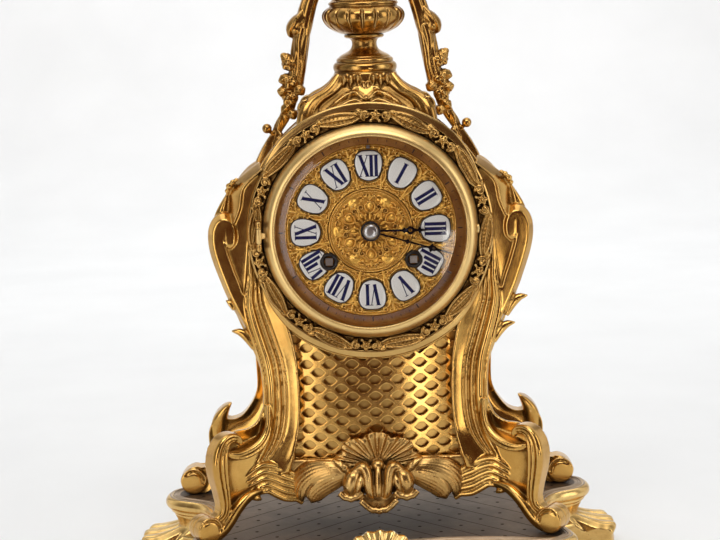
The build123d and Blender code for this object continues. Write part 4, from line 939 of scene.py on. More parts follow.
cart = cr(both([(0, 8.55), (4.2, 8.1), (6.9, 6.0), (7.8, 2.4), (7.4, -1.4), (6.3, -4.6), (4.5, -7.1), (0, -8.5)]), 5, closed=True)
m = M()
polar_relief(m, 24.6, 50.2, 118, 12, 62, dial_height, -30.8, -29.2, phase=15.0)
m.move(lambda V: V)
build("dial_plate", m, DIALG, "case", ["dial_plate"], sharp=0)

# flat chapter ring with milled minute strokes, longer every five minutes
m = M()
faced(m, [(50.1, -29.2), (50.1, -31.05), (50.4, -31.1), (57.6, -31.1), (57.95, -30.8), (57.95, -29.2)], 180)
faced(m, cr([(55.0, -31.0), (55.05, -31.35), (55.25, -31.4), (55.45, -31.35), (55.5, -31.0)], 2, True), 180)
mk = M()
for k in range(60):
    a = math.radians(6 * k)
    big = k % 5 == 0
    r0, r1, w = (50.8, 53.4, 0.34) if big else (52.0, 53.3, 0.17)
    d, t = np.array([math.sin(a), 0, math.cos(a)]), np.array([math.cos(a), 0, -math.sin(a)])
    c = np.array([0, -31.05, ZD])
    q = [c + d * r0 - t * w, c + d * r0 + t * w, c + d * r1 + t * w, c + d * r1 - t * w]
    up = np.array([0, -0.16, 0])
    mk.add(np.array(q + [p + up for p in q]), [(0, 1, 2, 3), (7, 6, 5, 4), (0, 4, 5, 1), (1, 5, 6, 2), (2, 6, 7, 3), (3, 7, 4, 0)])
build("chapter_ring", m, MINUTE, "case", [], sharp=40)
build("minute_track", mk, DARKLINE, "case", [], sharp=40)


def centre_height(A, R):
    U, V = np.radians(A) * R, R
    th = np.radians(A)
    X, Y = R * np.sin(th), R * np.cos(th)
    L = []
    L += [([(0, 6.6), (0, 8.6), (0, 10.4)], [0.7, 1.0, 0.4], 0.7)]
    L += [([(0.4, 10.2), (2.2, 12.0), (3.0, 14.4), (1.8, 16.4), (0, 17.0)], [0.5, 0.55, 0.6, 0.55, 0.5], 0.75)]
    L += [([(2.6, 6.8), (3.2, 9.0), (4.9, 10.4), (6.6, 11.0)], [0.6, 0.7, 0.6, 0.5], 0.75)]
    L += [(curl(5.2, 13.4, 1.9, -60, 420), 0.6, 0.7)]
    L += [([(0, 13.0), (0, 14.6)], [0.95, 0.6], 0.8)]
    L += [([(0, 18.0), (1.6, 19.6), (3.6, 19.2), (4.9, 17.6)], [0.5, 0.6, 0.55, 0.3], 0.6)]
    L += [([(0, 18.2), (0, 20.4), (0, 21.6)], [0.5, 0.7, 0.3], 0.6)]
    L += [([(4.6, 19.8), (6.0, 19.9), (7.2, 18.9)], [0.5, 0.6, 0.4], 0.5)]
    L += [(curl(2.6, 20.9, 0.95, 180, 380), 0.4, 0.5)]
    H = stamp(X, Y, L)
    # swelling lobes and leaf tips under the strands
    H = np.maximum(H, 1.5 * np.exp(-((R - 14.2) / 2.6) ** 2) * np.maximum(0, np.cos(6 * th)) ** 2.2)
    H = np.maximum(H, 1.3 * np.exp(-((R - 10.0) / 2.0) ** 2) * np.maximum(0, -np.cos(6 * th)) ** 2.2)
    H = np.maximum(H, 1.2 * np.exp(-((R - 18.6) / 1.8) ** 2) * np.maximum(0, -np.cos(6 * th)) ** 3)
    for c, r in (((8.3, 14.4), 1.5), ((4.6, 7.9), 1.0), ((0.0, 19.6), 1.3), ((5.0, 17.6), 1.2), ((2.4, 9.2), 0.9)):
        d = np.hypot(X - c[0], Y - c[1])
        H = np.maximum(H, 1.35 * np.sqrt(np.maximum(0, 1 - (d / r) ** 2)))
    H = H + 0.13 * np.sin(X * 8.0 + 1) * np.sin(Y * 8.6) * (H < 0.05)
    for rc, w, h in ((24.0, 0.5, 0.8), (22.7, 0.3, 0.45), (6.0, 0.5, 0.5)):
        H = np.maximum(H, h * np.sqrt(np.maximum(0, 1 - ((R - rc) / w) ** 2)))
    return H


m = M()
polar_relief(m, 5.3, 24.55, 110, 6, 116, centre_height, -31.1, -30.7)
build("dial_centre", m, DIALG, "case", ["dial_centre"], sharp=0)

# ------------------------------------------------------------------ enamel plaques and numerals
WIND = [(24.5, ZD - 17.5), (-24.5, ZD - 17.5)]


def dome(x, z):
    return 0.55 * np.maximum(0, 1 - (x / 8.4) ** 2 - (z / 9.2) ** 2)


def at_hour(i, X, Z):
    a = math.radians(30 * i)
    return X * math.cos(a) + (37.6 + Z) * math.sin(a), ZD - X * math.sin(a) + (37.6 + Z) * math.cos(a)


STROKES = {"I": [((0, 1), (0, -1), "thick")],
           "V": [((-1, 1), (0.06, -1), "thick"), ((1, 1), (-0.06, -1), "thin")],
           "X": [((-1, 1), (1, -1), "thick"), ((1, 1), (-1, -1), "thin")]}
HALFW = {"I": 0.0, "V": 2.05, "X": 2.15}
ROMAN = ["XII", "I", "II", "III", "IIII", "V", "VI", "VII", "VIII", "IX", "X", "XI"]


def numeral(mesh, i, text):
    H = 6.1
    gap, thick, thin = 0.9, 0.95, 0.24
    wid = [2 * HALFW[c] + (2 * thick if c == "I" else 0.7) for c in text]
    total = sum(wid) + gap * (len(text) - 1)
    k = min(1.0, (12.6 if len(text) > 3 else 11.4) / total)
    x = -total / 2
    quads = []
    for c, w in zip(text, wid):
        xc = x + w / 2
        for (a, b, kind) in STROKES[c]:
            hw = (thick if kind == "thick" else thin)
            quads.append(((xc + a[0] * HALFW[c]) * k, a[1] * H, (xc + b[0] * HALFW[c]) * k, b[1] * H, hw * (0.55 + 0.45 * k)))
        ends = {"I": [(0, 1), (0, -1)], "V": [(-1, 1), (1, 1)], "X": [(-1, 1), (1, 1), (-1, -1), (1, -1)]}[c]
        for ex, ez in ends:
            sx = (xc + ex * HALFW[c]) * k
            big = c == "I" or (ex, ez) in ((-1, 1), (1, -1))
            L = 1.45 if big else 0.95
            quads.append(((sx - L * k), ez * H, (sx + L * k), ez * H, 0.2))
        x += w + gap
    for (x0, z0, x1, z1, hw) in quads:
        n = 9
        t = np.linspace(0, 1, n)
        d = np.array([x1 - x0, z1 - z0])
        d /= np.linalg.norm(d)
        q = np.array([-d[1], d[0]])
        G = []
        for lift in (0.04, 0.09):
            rows = []
            for s in (-1, 1):
                X, Z = x0 + (x1 - x0) * t + q[0] * hw * s, z0 + (z1 - z0) * t + q[1] * hw * s
                gx, gz = at_hour(i, X, Z)
                rows.append(np.stack([gx, -32.0 - dome(X, Z) - (lift if lift > 0.05 else -0.12), gz], 1))
            G.append(rows)
        ring = np.stack([G[0][0], G[1][0], G[1][1], G[0][1]], 1)
        if any(np.min(np.hypot(ring[..., 0] - w[0], ring[..., 2] - w[1])) < 5.4 for w in WIND):
            keep = [j for j in range(n) if min(np.min(np.hypot(ring[j, :, 0] - w[0], ring[j, :, 2] - w[1])) for w in WIND) > 5.3]
            if len(keep) < 2:
                continue
            run = [keep[0]]
            for j in keep[1:]:
                if j == run[-1] + 1:
                    run.append(j)
            if len(run) < 2:
                continue
            ring = ring[run]
        mesh.grid(ring, cv=True, caps=True)
    return mesh


mp, mn, me_ = M(), M(), M()
for i in range(12):
    cut = None
    rows_t = []
    fs = [1.0, 1.0, 0.985, 0.95, 0.86, 0.7, 0.5, 0.28, 0.03]
    ys = [1.6, 0.1, 0.0, 0.0, 0.0, 0.0, 0.0, 0.0, 0.0]
    edge = [0.0, 0.0, 0.18, 0.05, 0, 0, 0, 0, 0]
    lim = np.ones(len(cart))
    for f in np.linspace(0.02, 1.0, 60):
        gx, gz = at_hour(i, cart[:, 0] * f, cart[:, 1] * f)
        for w in WIND:
            hit = (np.hypot(gx - w[0], gz - w[1]) < 5.3) & (lim == 1.0)
            lim[hit] = max(f - 0.012, 0.02)
    rim = cart * lim[:, None]
    for f, yb, e in zip(fs, ys, edge):
        X, Z = rim[:, 0] * f, rim[:, 1] * f
        gx, gz = at_hour(i, X, Z)
        gy = (-31.2 + yb) if yb > 0 else (-32.0 - dome(X, Z) + e)
        rows_t.append(np.stack([gx, np.broadcast_to(gy, gx.shape), gz], 1))
    mp.grid(np.stack(rows_t), cv=True, caps=True)
    numeral(mn, i, ROMAN[i])
    # thin dark setting round the plaque
    rows = []
    for f, y in ((1.0, -31.0), (1.0, -31.95), (1.025, -32.2), (1.055, -32.1), (1.07, -31.0)):
        gx, gz = at_hour(i, cart[:, 0] * f, cart[:, 1] * f)
        P = np.stack([gx, np.full_like(gx, y), gz], 1)
        rows.append(P)
    R_ = np.stack(rows)
    bad = np.zeros(R_.shape[1], bool)
    for w in WIND:
        bad |= (np.hypot(R_[..., 0] - w[0], R_[..., 2] - w[1]) < 5.4).any(0)
    if bad.any():
        s0 = int(np.argmax(bad & ~np.roll(bad, -1)))
        order = [(s0 + 1 + j) % len(bad) for j in range(int((~bad).sum()))]
        R2 = R_[:, order]
        me_.grid(np.swapaxes(R2, 0, 1), cv=True, caps=True)
    else:
        me_.grid(R_, cu=True, cv=True)
build("enamel_plaques", mp, ENAMEL, "case", ["enamel_plaques"], sharp=45)
build("numerals", mn, NAVY, "case", [], sharp=30)
build("plaque_settings", me_, DARKLINE, "case", [], sharp=50)

m = M()
for w in WIND:
    faced(m, cr([(3.02, -29.4), (3.02, -31.6), (3.15, -32.3), (3.6, -32.9), (4.3, -33.0), (4.95, -32.5), (5.15, -31.4), (5.15, -29.4)], 3, True), 60, centre=w)
build("winding_collets", m, BLACK, "case", ["winding_collets"], sharp=50)


# ------------------------------------------------------------------ hands
def hand_plate(mesh, deg, side, holes, hub, bore, y0, y1):
    a = math.radians(deg)
    S = cr(side, 6)
    loc = np.concatenate([S, (S * [1, -1])[::-1]])
    hub_a = np.linspace(0.32, 2 * pi - 0.32, 40)
    tail = np.stack([hub * np.cos(hub_a), hub * np.sin(hub_a)], 1)
    start = loc[:1]
    out = np.concatenate([loc, tail[::-1][::-1][::-1]]) if False else None
    prof = np.concatenate([S[S[:, 0] > hub * 0.96], (S * [1, -1])[::-1][(S[::-1, 0] > hub * 0.96)], tail[::-1][::-1] * [1, -1]])
    def place(P):
        P = np.asarray(P)
        return np.stack([P[:, 0] * math.sin(a) + P[:, 1] * math.cos(a), ZD + P[:, 0] * math.cos(a) - P[:, 1] * math.sin(a)], 1)
    outs = [place(prof), circle(bore, 40)]
    for pts in holes:
        outs.append(place(cr(pts, 6, closed=True)))
    return plate(mesh, outs, y0, y1, 0.16, 1)


def oval(c, rx, ry, n=10):
    return [(c + rx * math.cos(2 * pi * k / n), ry * math.sin(2 * pi * k / n)) for k in range(n)]


m = M()
hand_plate(m, 90.7, [(4, 0.62), (8, 0.55), (15, 0.55), (18.4, 0.75), (19.4, 1.7), (20.4, 0.95), (21.4, 1.5), (22.6, 2.5), (23.8, 2.2), (25.0, 1.4), (26.2, 0.8),
                     (27.4, 0.7), (28.4, 1.9), (29.2, 1.0), (30.6, 0.6), (34.0, 0.15)], [oval(23.0, 1.1, 0.95)], 5.6, 4.25, -34.6, -33.85)
build("hour_hand", m, BLUED, "hour_train", ["hour_hand"], sharp=30)
m = M()
hand_plate(m, 107.0, [(4, 0.55), (8, 0.48), (18, 0.48), (21.0, 0.6), (22.0, 1.5), (23.0, 0.9), (24.2, 0.6), (32, 0.48), (34.6, 0.6), (35.4, 1.4), (36.4, 2.6), (37.4, 1.5),
                      (38.6, 1.5), (39.8, 0.8), (42.4, 0.48), (46, 0.38), (50, 0.12)], [oval(37.9, 0.9, 0.6)], 5.1, 2.55, -36.6, -35.85)
build("minute_hand", m, BLUED, "minute_train", ["minute_hand"], sharp=30)
m = M()
faced(m, cr([(1.5, -36.7), (5.45, -36.7), (5.6, -36.9), (5.5, -37.1), (5.0, -37.2), (4.9, -37.05)], 3, True), 60)
build("hand_washer", m, BLACK, "minute_train", [], sharp=50)
m = M()
faced(m, cr([(0.05, -39.4), (1.6, -39.35), (2.9, -39.1), (3.9, -38.6), (4.45, -37.9), (4.6, -37.3), (4.6, -37.0), (3.5, -36.9), (1.6, -36.9)], 4)[:, :], 72, closed=False)
build("hand_nut", m, NUT, "minute_train", ["hand_nut"], sharp=40)

# ------------------------------------------------------------------ pilasters: banked and reeded band, crook above, scrolled leg below
def loft(mesh, rows, n=6, caps=True):
    """rows (k, m, 3) of matching section points, smoothed along k"""
    R = np.asarray(rows, float)
    k, mm = R.shape[:2]
    C = cr(R.reshape(k, -1), n).reshape(-1, mm, 3)
    return mesh.grid(C, cv=True, caps=caps)


BANK = [(0.045, -31.6), (0.085, -32.5), (0.125, -33.4), (0.165, -33.4), (0.20, -32.6), (0.235, -31.9), (0.265, -33.0), (0.315, -34.4), (0.365, -34.7), (0.41, -34.1), (0.445, -33.2), (0.485, -34.4),
        (0.56, -35.9), (0.66, -36.6), (0.76, -36.3), (0.83, -35.2), (0.86, -34.6), (0.89, -35.4), (0.93, -35.9), (0.97, -35.5), (1.0, -34.4)]


def bank_row(z, xi, xf, xo, k, flat=1.0):
    w = xf - xi
    r = min(3.7, max(1.15, (0.165 + 0.115 * min(1.0, max(0.0, (abs(w) - 7.0) / 4.0))) * abs(w)))
    pts = [(xi + 0.2, -30.6), (xi, -32.3 - r), (xi + 0.35 * w, -32.3 - 0.68 * r), (xi + 0.7 * w, -32.3 - 0.31 * r), (xf, -32.3)]
    pts += [(xf + (xo - xf) * f, -32.2 + (y + 32.2) * flat) for f, y in BANK]
    P = np.array(pts)
    P[:, 1] -= k * np.clip((P[:, 0] - xi) / (xo - xi), 0, 1)
    P = cr(P, 3)
    S = np.stack([P[:, 0], P[:, 1], np.full(len(P), z)], 1)
    a, b = S[-1].copy(), S[0].copy()
    a[1] = b[1] = -26.0
    return np.concatenate([S, [a, b]])


core = M()
loft(core, [bank_row(*r) for r in ((214, 67.6, 68.4, 70.8, 0, 0.45), (203, 66.9, 67.6, 71.8, 0, 0.6), (190, 63.0, 64.4, 73.0, 0, 0.9), (178, 56.6, 63.0, 75.0, 0), (166, 50.4, 59.4, 73.6, 0), (154, 47.4, 55.8, 70.4, 0), (142.6, 45.6, 52.6, 67.4, 0),
                                   (130, 44.8, 51.2, 66.0, 0), (118, 44.6, 51.0, 66.0, 0), (107, 45.2, 51.8, 67.2, 0.5), (98, 46.4, 54.0, 69.4, 1.6), (91, 48.0, 58.0, 71.6, 3.4, 0.95), (85, 49.6, 63.0, 73.6, 5.2, 0.85), (80, 51.0, 68.6, 75.0, 6.8, 0.7), (76.6, 52.0, 72.6, 75.6, 7.6, 0.5))], n=7)

# crook: flat face with a broad rounded outer edge that wraps over the top into an oval tongue
face = []
for z, a, b in ((227.0, 83.4, 87.4), (225.0, 84.2, 89.6), (222, 84.9, 91.0), (218, 85.0, 91.6), (213.6, 84.9, 91.6), (211, 83.8, 91.2), (206, 82.4, 90.4), (201, 80.9, 89.2), (195, 78.9, 87.2), (190, 77.1, 85.2), (184, 75.3, 83.0), (178, 73.7, 80.6), (172, 72.4, 78.0), (166, 71.0, 75.2), (160, 69.2, 72.6), (154, 67.2, 70.0)):
    b -= 1.0
    x = np.linspace(a, b, 11)
    q = np.linspace(0, 1, 11)
    y = -35.6 + 0.15 * q
    s = np.stack([x, y, np.full(11, z)], 1)
    face.append(np.concatenate([s, [[b, -25.5, z], [a, -25.5, z]]]))
loft(core, face, n=5)
rim_c = [(68.4, -32.5, 150.0, 1.40, 1.8), (71.4, -32.5, 158.0, 1.70, 2.4), (75.0, -32.5, 166.5, 1.90, 2.7), (79.0, -32.5, 175.0, 2.70, 2.8), (82.8, -32.5, 184.0, 2.90, 2.9), (86.0, -32.5, 193.0, 3.00, 2.9), (88.9, -32.5, 202.0, 3.10, 2.9), (90.7, -32.5, 209.0, 3.10, 2.9), (91.4, -32.5, 215.5, 3.10, 2.9),
         (90.8, -32.5, 221.4, 3.10, 2.9), (88.4, -32.5, 225.8, 3.10, 2.9), (84.9, -32.5, 227.6, 3.10, 2.9), (81.8, -32.5, 226.6, 2.90, 2.9), (80.2, -32.3, 223.4, 1.40, 2.4)]
rim_p = np.array([[-1, -0.3], [-1.0, 0.93], [-0.85, 1.0], [-0.3, 1.0], [-0.08, 0.99], [0.02, 0.92], [0.1, 0.82], [0.55, 0.0], [0.97, -0.76], [1.0, -0.95]])
strand(core, rim_c, "flat", n=8, profile=rim_p, back=2.0)
strand(core, [(85.2, -34.1, 226.0, 1.8, 1.4), (82.8, -34.0, 224.6, 2.7, 1.6), (81.4, -34.0, 221.2, 3.3, 1.6), (81.1, -34.0, 216.8, 3.4, 1.6), (81.4, -33.9, 213.0, 2.7, 1.5), (81.8, -33.6, 210.4, 0.8, 1.0)], "flat", n=8, back=4.0, m=15)
# floor of the hollow beside the face
sheet = []
for z, a, b in ((226, 70, 86), (216, 70, 86), (208, 70, 84), (200, 70.6, 82.4), (192, 71.2, 79.8), (186, 71.8, 77.6), (180, 72.2, 75.8), (174, 72.4, 74.2)):
    x = np.linspace(a, b, 11)
    sheet.append(np.stack([x, -33.25 + 0.2 * np.sin(np.linspace(0, pi, 11)) - np.interp(z, [174, 190, 206, 220], [0.9, 0.8, 0.45, 0.0]) * (1 - np.linspace(0, 1, 11)) ** 2.2, np.full(11, z)], 1))
S_ = cr(np.array(sheet).reshape(8, -1), 5).reshape(-1, 11, 3)
core.sheet(S_, S_ + [0, 4.5, 0])

# shoulder: dished face next to the ring, smooth band leaning outwards
inn = cr([(61.0, 255.6), (66.0, 251.6), (70.0, 248.0), (72.8, 244.2), (73.8, 239.6), (74.6, 234.8), (76.2, 230.0), (78.4, 225.0)], 6)
out = cr([(63.0, 259.0), (68.6, 255.2), (74.4, 250.6), (79.4, 246.6), (82.0, 242.0), (82.4, 236.6), (82.8, 231.6), (84.4, 226.6)], 6)
q = np.linspace(0, 1, 13)
rows = []
for a, b in zip(inn, out):
    P = a[None] * (1 - q[:, None]) + b[None] * q[:, None]
    y = -36.4 + 11.0 * q ** 1.15 + 0.5 * np.exp(-(q / 0.06) ** 2)
    s = np.stack([P[:, 0], y, P[:, 1]], 1)
    ext = [[b[0] + 0.3, -24.0, b[1] + 0.2], [b[0] + 0.3, -22.0, b[1] + 0.2], [a[0], -22.0, a[1]]]
    rows.append(np.concatenate([s, ext]))
core.grid(np.stack(rows), cv=True, caps=True)
dish_ = []
for (a, b) in zip(cr([(56, 250), (60.4, 246), (64.6, 240), (67.4, 234), (69.2, 228), (70.2, 222), (70.4, 212)], 5), cr([(66, 253.4), (69.8, 249.4), (73.2, 245), (74.4, 239), (75.6, 233), (78.6, 226), (80.0, 214)], 5)):
    P = a[None] * (1 - q[:, None]) + b[None] * q[:, None]
    dish_.append(np.stack([P[:, 0], -33.25 + 0.15 * np.sin(pi * q), P[:, 1]], 1))
dish_ = np.stack(dish_)
core.sheet(dish_, dish_ * [1, 0, 1] + [0, -26.0, 0])
# small curls on the outer corner and a rounded ear behind the crook
for cx_, cy_, cz_, r_ in ((81.0, -28.6, 246.0, 1.9), (82.2, -27.4, 243.2, 1.5), (78.8, -29.4, 248.4, 1.6), (76.6, -29.8, 249.8, 1.2)):
    ball(core, (cx_, cy_, cz_), r_, 10, 12, (1.1, 1, 1))
ear_a = cr([(78.6, 246.4), (81.2, 241.6), (81.6, 236.6), (82.2, 231.6), (83.8, 225.4)], 5)
ear_b = cr([(79.4, 247.2), (83.8, 240.4), (87.4, 234.8), (90.2, 229.2), (91.2, 223.6)], 5)
q = np.linspace(0, 1, 13)
ear_ = np.stack([np.stack([a[0] + (b[0] - a[0]) * q, -25.6 - 2.6 * np.sin(pi * (0.08 + 0.8 * q)), a[1] + (b[1] - a[1]) * q], 1) for a, b in zip(ear_a, ear_b)])
core.sheet(ear_, ear_ * [1, 0, 1] + [0, -21.0, 0])


def thorn(mesh, pts, y=-32.6):
    """spur growing out of the rim: rows of x, z, half width, half depth"""
    strand(mesh, [(x, y, z, w, d) for x, z, w, d in pts], "tube", n=6, m=9, ref=(0, -1, 0))


thorn(core, [(70.0, 150.6, 1.4, 2.4), (72.8, 155.8, 2.3, 2.8), (75.4, 159.2, 2.6, 2.6), (78.0, 160.9, 2.2, 2.1), (80.6, 161.4, 1.4, 1.5), (82.8, 161.6, 0.4, 0.6)])
spur = M()
thorn(spur, [(77.6, 166.0, 1.4, 2.4), (80.4, 171.4, 2.3, 2.8), (83.0, 174.9, 2.6, 2.6), (85.6, 176.6, 2.2, 2.2), (88.2, 177.1, 1.4, 1.6), (90.4, 177.3, 0.4, 0.6)])
stump = M()
thorn(stump, [(80.8, 174.0, 1.0, 1.8), (82.8, 177.4, 1.4, 1.8), (84.4, 179.2, 0.9, 1.2), (85.4, 180.0, 0.4, 0.6)])

# ---- front leg on a diagonal plane
NL = (-0.505, -0.863, 0.0)
nl = np.array(NL)


def dg(x, z, w, h, off=0.0):
    return (x + NL[0] * off, -36 - 0.585 * (x - 60) + NL[1] * off, z, w, h)


leg = M()
# lip that leaves the band, sweeps out and closes the panel at the top
lip_p = np.array([[-1, -0.3], [-1.0, 0.3], [-0.9, 0.62], [-0.62, 0.86], [-0.3, 0.92], [-0.02, 0.8], [0.12, 0.56], [0.25, 0.6], [0.5, 0.76], [0.75, 0.66], [0.93, 0.36], [1.0, -0.2]])
strand(leg, [dg(62.4, 118, 1.2, 1.2, -0.8), dg(62.8, 109, 1.8, 2.0, 0), dg(64.8, 101.6, 2.6, 2.8, 0.8), dg(69.0, 96.0, 3.1, 3.2, 1.5), dg(74.8, 92.6, 3.1, 3.2, 2.0), dg(80.6, 91.4, 2.7, 3.0, 2.2), dg(85.2, 92.2, 2.0, 2.4, 2.0), dg(88.0, 94.0, 0.9, 1.4, 1.6)], "round", n=8, ref=NL, back=1.6, profile=lip_p)
# knee: three unequal strands side by side, hooked over at the top, running down behind the foot scroll
knee_c = [dg(79.8, 97.2, 0.9, 1.4, 1.2), dg(80.4, 99.6, 1.9, 2.4, 1.3), dg(82.4, 101.8, 2.6, 3.0, 1.4), dg(85.6, 102.4, 3.1, 3.4, 1.7), dg(89.0, 100.6, 3.8, 3.8, 2.0), dg(91.4, 95.6, 4.6, 4.2, 2.2), dg(92.2, 89.4, 5.1, 4.4, 2.2), dg(92.0, 82.6, 5.0, 4.2, 2.0), dg(91.2, 76.0, 4.5, 4.0, 1.8),
          dg(90.2, 69.0, 4.0, 3.6, 1.5), dg(89.8, 62.6, 3.6, 3.4, 1.2), dg(91.2, 57.4, 3.3, 3.2, 1.0), dg(95.0, 54.4, 3.0, 3.0, 0.6)]
knee_sec = np.array([[-1, -0.3], [-1.0, 0.3], [-0.94, 0.6], [-0.76, 0.86], [-0.5, 0.94], [-0.26, 0.82], [-0.13, 0.6], [-0.06, 0.54], [0.04, 0.66], [0.2, 0.78], [0.33, 0.68], [0.41, 0.40], [0.5, 0.36], [0.6, 0.52], [0.74, 0.60], [0.88, 0.5], [0.97, 0.22], [1.0, -0.3]])
strand(leg, knee_c, "round", n=8, ref=NL, back=2.0, profile=knee_sec)
# lower strand from the scroll up to a bead below the belly
low_p = np.array([[-1, -0.3], [-1.0, 0.36], [-0.9, 0.7], [-0.66, 0.9], [-0.3, 0.94], [0.1, 0.88], [0.4, 0.74], [0.5, 0.56], [0.6, 0.62], [0.8, 0.6], [0.94, 0.36], [1.0, -0.2]])
bot_c = [dg(102.0, 45.8, 2.2, 3.4, 1.2), dg(96.4, 45.4, 2.9, 3.6, 1.2), dg(91.4, 48.4, 3.2, 3.6, 1.2), dg(87.4, 53.2, 3.3, 3.6, 1.2), dg(84.0, 58.4, 3.3, 3.6, 1.2), dg(80.4, 62.6, 3.2, 3.4, 1.2), dg(76.6, 65.6, 3.0, 3.0, 1.0), dg(72.6, 67.0, 2.4, 2.4, 0.6), dg(68.0, 67.6, 1.4, 1.6, 0.0), dg(63.0, 67.4, 0.6, 0.8, -0.8)]
strand(leg, bot_c, "round", n=8, ref=NL, back=2.0, profile=low_p * [-1, 1])
strand(leg, [dg(75.0, 64.8, 1.2, 1.4, 0.6), dg(72.4, 64.4, 1.9, 1.9, 0.8), dg(70.2, 63.4, 1.6, 1.6, 0.6), dg(69.0, 62.2, 0.5, 0.7, 0.2)], "round", n=6, m=9, ref=NL, back=1.4)
# foot scroll: boss cut by a spiral line that opens into the lower strand
side, up = unit(np.array([0.863, -0.505, 0.0])), np.array([0, 0, 1.0])


def volute(mesh, ctr, side, up, nl, R, front, back, gap=(200, 295), n=72):
    b = np.linspace(0, 2 * pi, n, endpoint=False)
    deg = np.degrees(b)
    mid, hw = (gap[0] + gap[1]) / 2, (gap[1] - gap[0]) / 2
    g = np.clip((np.abs((deg - mid + 180) % 360 - 180) - hw) / 30, 0, 1)
    g = g * g * (3 - 2 * g) * np.clip(np.cos(np.radians(deg - mid + 110)) * 1.6 + 0.3, 0, 1)
    rows = []
    for f, o, k in ((0.006, 0.25, 0), (0.3, 0.25, 0), (0.50, 0.2, 0), (0.66, 0.18, 0.05), (0.725, 0.12, 0.8), (0.785, 0.1, 1.0), (0.85, 0.1, 0.7), (0.91, 0.08, 0.0), (0.96, 0.0, 0), (0.988, -0.3, 0), (1.0, -1.0, 0)):
        rows.append((f * R, front + o - 2.0 * k * g))
    L = front - back
    for f, t in ((1.0, 0.42), (0.955, 0.47), (1.0, 0.52), (1.0, 0.70), (0.96, 0.74), (0.99, 0.78), (0.97, 0.95), (0.85, 1.0), (0.006, 1.0)):
        rows.append((f * R, np.full(n, front - L * t)))
    P = np.stack([ctr + side * (r * np.cos(b))[:, None] + up * (r * np.sin(b))[:, None] + nl * np.broadcast_to(o, (n,))[:, None] for r, o in rows])
    return mesh.grid(P, cv=True, caps=True)


volute(leg, np.array(dg(99.4, 50.4, 0, 0, 0)[:3]), side, up, nl, 7.7, 4.6, -10.0)
# dished panel between the strands
ea = np.array([dg(84.0, 93.0, 0, 0), dg(88.5, 91.0, 0, 0), dg(89.5, 83.0, 0, 0), dg(88.6, 75.0, 0, 0), dg(87.2, 68.0, 0, 0), dg(87.0, 62.0, 0, 0), dg(89.4, 56.0, 0, 0), dg(94.0, 51.0, 0, 0)])[:, :3]
eb = np.array([dg(62.0, 101.0, 0, 0), dg(65.0, 92.0, 0, 0), dg(67.6, 84.0, 0, 0), dg(68.6, 78.0, 0, 0), dg(70.0, 72.0, 0, 0), dg(75.0, 65.6, 0, 0), dg(84.6, 57.0, 0, 0), dg(92.0, 49.5, 0, 0)])[:, :3]
ea, eb = cr(ea, 6), cr(eb, 6)
t = np.linspace(0, 1, 17)[None, :, None]
pan = ea[:, None] * (1 - t) + eb[:, None] * t
pan = pan + nl * (0.5 - 2.5 * np.sin(pi / 2 * np.clip(t / 0.42, 0, 1)) ** 0.9)
leg.sheet(pan, pan - nl * 4.0)
# belly folds: waves arching from the apron wing up and over to the leg panel
fa_ = np.array([(42.0, -30.5, 66.0), (46.6, -31.4, 70.6), (51.0, -32.4, 75.2), (56.4, -33.8, 79.4), (62.0, -35.2, 81.8), (67.6, -37.8, 81.4), (72.0, -40.4, 79.8), (78.0, -43.4, 76.8)])
fb_ = np.array([(45.0, -32.8, 56.8), (48.4, -33.8, 58.8), (52.0, -34.8, 60.8), (56.0, -36.0, 62.8), (60.6, -37.6, 64.4), (64.6, -39.0, 65.6), (68.4, -40.4, 66.2), (74.0, -42.0, 66.0)])
wd_ = (1.7, 1.9, 2.1, 2.2, 2.2, 2.0, 1.6, 0.6)
BN = unit(np.array([-0.36, -0.93, 0.0]))
for j in range(5):
    f = j / 4.0
    P_ = fa_ * (1 - f) + fb_ * f
    P_[:, 2] += 1.25 * np.sin(np.linspace(0, 3.2 * pi, len(P_)) + 0.5 * f)
    strand(leg, [(*p, w * (1 - 0.12 * f), w * (1.35 - 0.2 * f)) for p, w in zip(P_, wd_)], "round", n=6, m=11, ref=tuple(BN), back=2.2)
B_ = np.stack([cr(fa_ * (1 - f) + fb_ * f - BN * 1.6, 5) for f in np.linspace(0, 1, 9)], 1)
leg.sheet(B_, B_ - BN * 4.5)
# shelf that ties the knee to the side of the case, dished under the hook
sh_a = cr(np.array([dg(63.5, 116, 0, 0, -3.0)[:3], dg(67.0, 108.5, 0, 0, -3.0)[:3], dg(73.0, 105.0, 0, 0, -3.0)[:3], dg(80.0, 104.6, 0, 0, -3.0)[:3], dg(86.0, 101.0, 0, 0, -3.8)[:3], dg(88.6, 96.0, 0, 0, -4.6)[:3]]), 6)
sh_b = cr(np.array([dg(63.0, 104, 0, 0, -4.2)[:3], dg(67.0, 97.0, 0, 0, -4.6)[:3], dg(72.0, 93.0, 0, 0, -5.0)[:3], dg(78.0, 91.0, 0, 0, -5.0)[:3], dg(84.0, 90.0, 0, 0, -4.8)[:3], dg(88.0, 88.0, 0, 0, -5.0)[:3]]), 6)
t = np.linspace(0, 1, 12)[None, :, None]
shf = sh_a[:, None] * (1 - t) + sh_b[:, None] * t - nl * 2.4 * np.sin(pi * t)
leg.sheet(shf, shf - nl * 2.8)
core.join(leg)
right = M().join(core).join(spur)
left = M().join(core, mirror=True).join(stump, mirror=True)
for mesh_ in (right, left):
    mesh_.move(lambda V: np.stack([V[:, 0], np.maximum(V[:, 1], -80), np.maximum(V[:, 2], 42.0)], 1))
build("pilaster_right", right, GILT, "case", ["pilaster_right"], voxel=0.54, smooth=4)
build("pilaster_left", left, GILT, "case", ["pilaster_left"], voxel=0.54, smooth=4)

